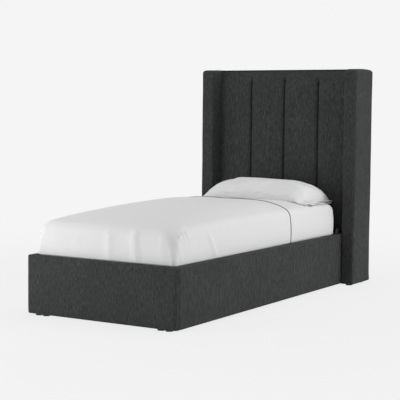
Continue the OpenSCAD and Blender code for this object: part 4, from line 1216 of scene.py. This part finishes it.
def build_lamps():
    """Soft studio light: an even world, softboxes at the right, in front of the foot, above and behind."""
    for name, setting in SOFTBOXES.items():
        add_softbox(name, *setting)
    world = bpy.data.worlds.new("studio")
    bpy.context.scene.world = world
    world.use_nodes = True
    tree = world.node_tree
    tree.nodes.clear()
    ambient = {"Color": rgba("floor"), "Strength": WORLD_STRENGTH}
    soft = add_node(tree, "ShaderNodeBackground", ambient).outputs["Background"]
    shown = camera_white(tree, soft, "floor", 1.0)
    output = add_node(tree, "ShaderNodeOutputWorld")
    tree.links.new(shown, output.inputs["Surface"])


# Place in metres, turn round the bed, tilt and roll in degrees, and focal length in millimetres
CAMERA_PLACE = (3.7626, -6.2762, 1.1776)
CAMERA_ANGLES = (31.374, 4.521, 0.503)
CAMERA_LENS = 106.42


def build_camera(scene):
    """The camera at the height, distance and angle from which the bed was photographed."""
    data = bpy.data.cameras.new("camera")
    data.sensor_width = 36.0
    data.lens = CAMERA_LENS
    camera = put_in_scene("camera", data)
    turn, tilt, roll = (math.radians(angle) for angle in CAMERA_ANGLES)
    upright = Matrix.Rotation(turn, 4, "Z") @ Matrix.Rotation(math.pi / 2 - tilt, 4, "X")
    camera.matrix_world = Matrix.Translation(CAMERA_PLACE) @ upright @ Matrix.Rotation(roll, 4, "Z")
    data.clip_start, data.clip_end = 0.1, 300.0
    scene.camera = camera
    scene.view_settings.view_transform = "Standard"


# Operators

class BED_OT_stage(bpy.types.Operator):
    """Sets up the floor, the backdrop, the lamps and the camera"""

    bl_idname = "bed.stage"
    bl_label = "Stage"

    def execute(self, context):
        build_floor()
        build_lamps()
        build_camera(context.scene)
        return {"FINISHED"}


class BED_OT_headboard_front(bpy.types.Operator):
    """Builds the channelled face of the headboard"""

    bl_idname = "bed.headboard_front"
    bl_label = "Headboard front"

    def execute(self, context):
        build_headboard_front()
        return {"FINISHED"}


class BED_OT_wing_covers(bpy.types.Operator):
    """Builds the padded covers of the two wings"""

    bl_idname = "bed.wing_covers"
    bl_label = "Wing covers"

    def execute(self, context):
        right = build_wing_cover()
        left = mirrored(right)
        for name, bm in (("left", left), ("right", right)):
            piece = make_piece(f"wing_cloth_{name}", bm, "bed_frame", "charcoal_linen",
                               replaces=[f"wing_cover_{name}"])
        return {"FINISHED"}


class BED_OT_rail_covers(bpy.types.Operator):
    """Builds the padded covers of the side rails and the foot rail"""

    bl_idname = "bed.rail_covers"
    bl_label = "Rail covers"

    def execute(self, context):
        right = build_side_cover()
        covers = (
            ("rail_cloth_left", mirrored(right), "rail_cover_left"),
            ("rail_cloth_right", right, "rail_cover_right"),
            ("foot_cloth", build_foot_cover(), "foot_cover"),
        )
        for name, bm, node in covers:
            piece = make_piece(name, bm, "bed_frame", "charcoal_linen", replaces=[node])
        return {"FINISHED"}


class BED_OT_back_cloth(bpy.types.Operator):
    """Builds the backing cloth behind the headboard"""

    bl_idname = "bed.back_cloth"
    bl_label = "Back cloth"

    def execute(self, context):
        build_back_cloth()
        return {"FINISHED"}


class BED_OT_mattress(bpy.types.Operator):
    """Builds the mattress"""

    bl_idname = "bed.mattress"
    bl_label = "Mattress"

    def execute(self, context):
        build_mattress()
        return {"FINISHED"}


class BED_OT_sheets(bpy.types.Operator):
    """Builds the fitted sheet, the top sheet and its piping"""

    bl_idname = "bed.sheets"
    bl_label = "Sheets"

    def execute(self, context):
        build_fitted_sheet()
        build_top_sheet()
        build_piping()
        return {"FINISHED"}


class BED_OT_pillow(bpy.types.Operator):
    """Builds the pillow"""

    bl_idname = "bed.pillow"
    bl_label = "Pillow"

    def execute(self, context):
        build_pillow()
        return {"FINISHED"}


class BED_OT_pull_strap(bpy.types.Operator):
    """Builds the pull strap at the foot of the platform"""

    bl_idname = "bed.pull_strap"
    bl_label = "Pull strap"

    def execute(self, context):
        build_strap()
        return {"FINISHED"}


def pair(name):
    """The names of a left and a right node."""
    return [f"{name}_left", f"{name}_right"]


# The finish of each node of the frame that is shown as it is
FINISHES = {
    "pine_along_y": pair("side_rail") + ["floor_battens", "platform_battens"],
    "pine_along_x": ["foot_rail", "head_rail", "headboard_top_rail", "headboard_middle_rail",
                     "headboard_bottom_rail"],
    "pine_along_z": pair("headboard_post") + pair("wing_board"),
    "plywood": ["headboard_ply"],
    "birch_slat": ["slats"],
    "black_backing": ["floor_panel_foot", "floor_panel_head"],
    "zinc_steel": ["corner_brackets", "corner_bolts", "head_brackets", "head_bolts", "hinge_screws",
                   "wing_bolts", "arm_bolts"],
    "grey_steel": pair("hinge_plate") + pair("lift_arm"),
    "black_steel": pair("platform_tube") + ["platform_head_tube", "platform_middle_tube",
                                            "platform_foot_tube"],
    "black_plastic": ["slat_caps", "glides", "hinge_washers"],
    "rubber": ["stop_pads"],
    "strut_black": pair("strut_cylinder"),
    "strut_chrome": pair("strut_rod"),
}


class BED_OT_frame_finishes(bpy.types.Operator):
    """Gives the boards, slats, steel and fittings of the frame their finishes"""

    bl_idname = "bed.frame_finishes"
    bl_label = "Frame finishes"

    def execute(self, context):
        for name, nodes in FINISHES.items():
            for node in nodes:
                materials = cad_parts[node].data.materials
                materials.clear()
                materials.append(MATERIALS[name])
        return {"FINISHED"}


class BED_PT_parts(bpy.types.Panel):
    """Lists the pieces of the bed"""

    bl_label = "Bed"
    bl_idname = "BED_PT_parts"
    bl_space_type = "VIEW_3D"
    bl_region_type = "UI"
    bl_category = "Bed"

    def draw(self, context):
        column = self.layout.column(align=True)
        for operator in OPERATORS:
            column.operator(operator.bl_idname)
        for group in (context.scene.bed_sizes, context.scene.bed_colours):
            for name in group.bl_rna.properties.keys():
                if name not in ("rna_type", "name"):
                    column.prop(group, name)


OPERATORS = (
    BED_OT_stage,
    BED_OT_frame_finishes,
    BED_OT_headboard_front,
    BED_OT_wing_covers,
    BED_OT_rail_covers,
    BED_OT_back_cloth,
    BED_OT_pull_strap,
    BED_OT_mattress,
    BED_OT_sheets,
    BED_OT_pillow,
)
CLASSES = (BedSizes, BedColours, *OPERATORS, BED_PT_parts)


def register():
    for item in CLASSES:
        bpy.utils.register_class(item)
    bpy.types.Scene.bed_sizes = bpy.props.PointerProperty(type=BedSizes)
    bpy.types.Scene.bed_colours = bpy.props.PointerProperty(type=BedColours)


def unregister():
    del bpy.types.Scene.bed_colours
    del bpy.types.Scene.bed_sizes
    for item in reversed(CLASSES):
        bpy.utils.unregister_class(item)


def main():
    """Builds every piece in order."""
    register()
    make_materials()
    for operator in OPERATORS:
        group, name = operator.bl_idname.split(".")
        getattr(getattr(bpy.ops, group), name)()
    bpy.context.view_layer.update()


if __name__ == "__main__":
    main()
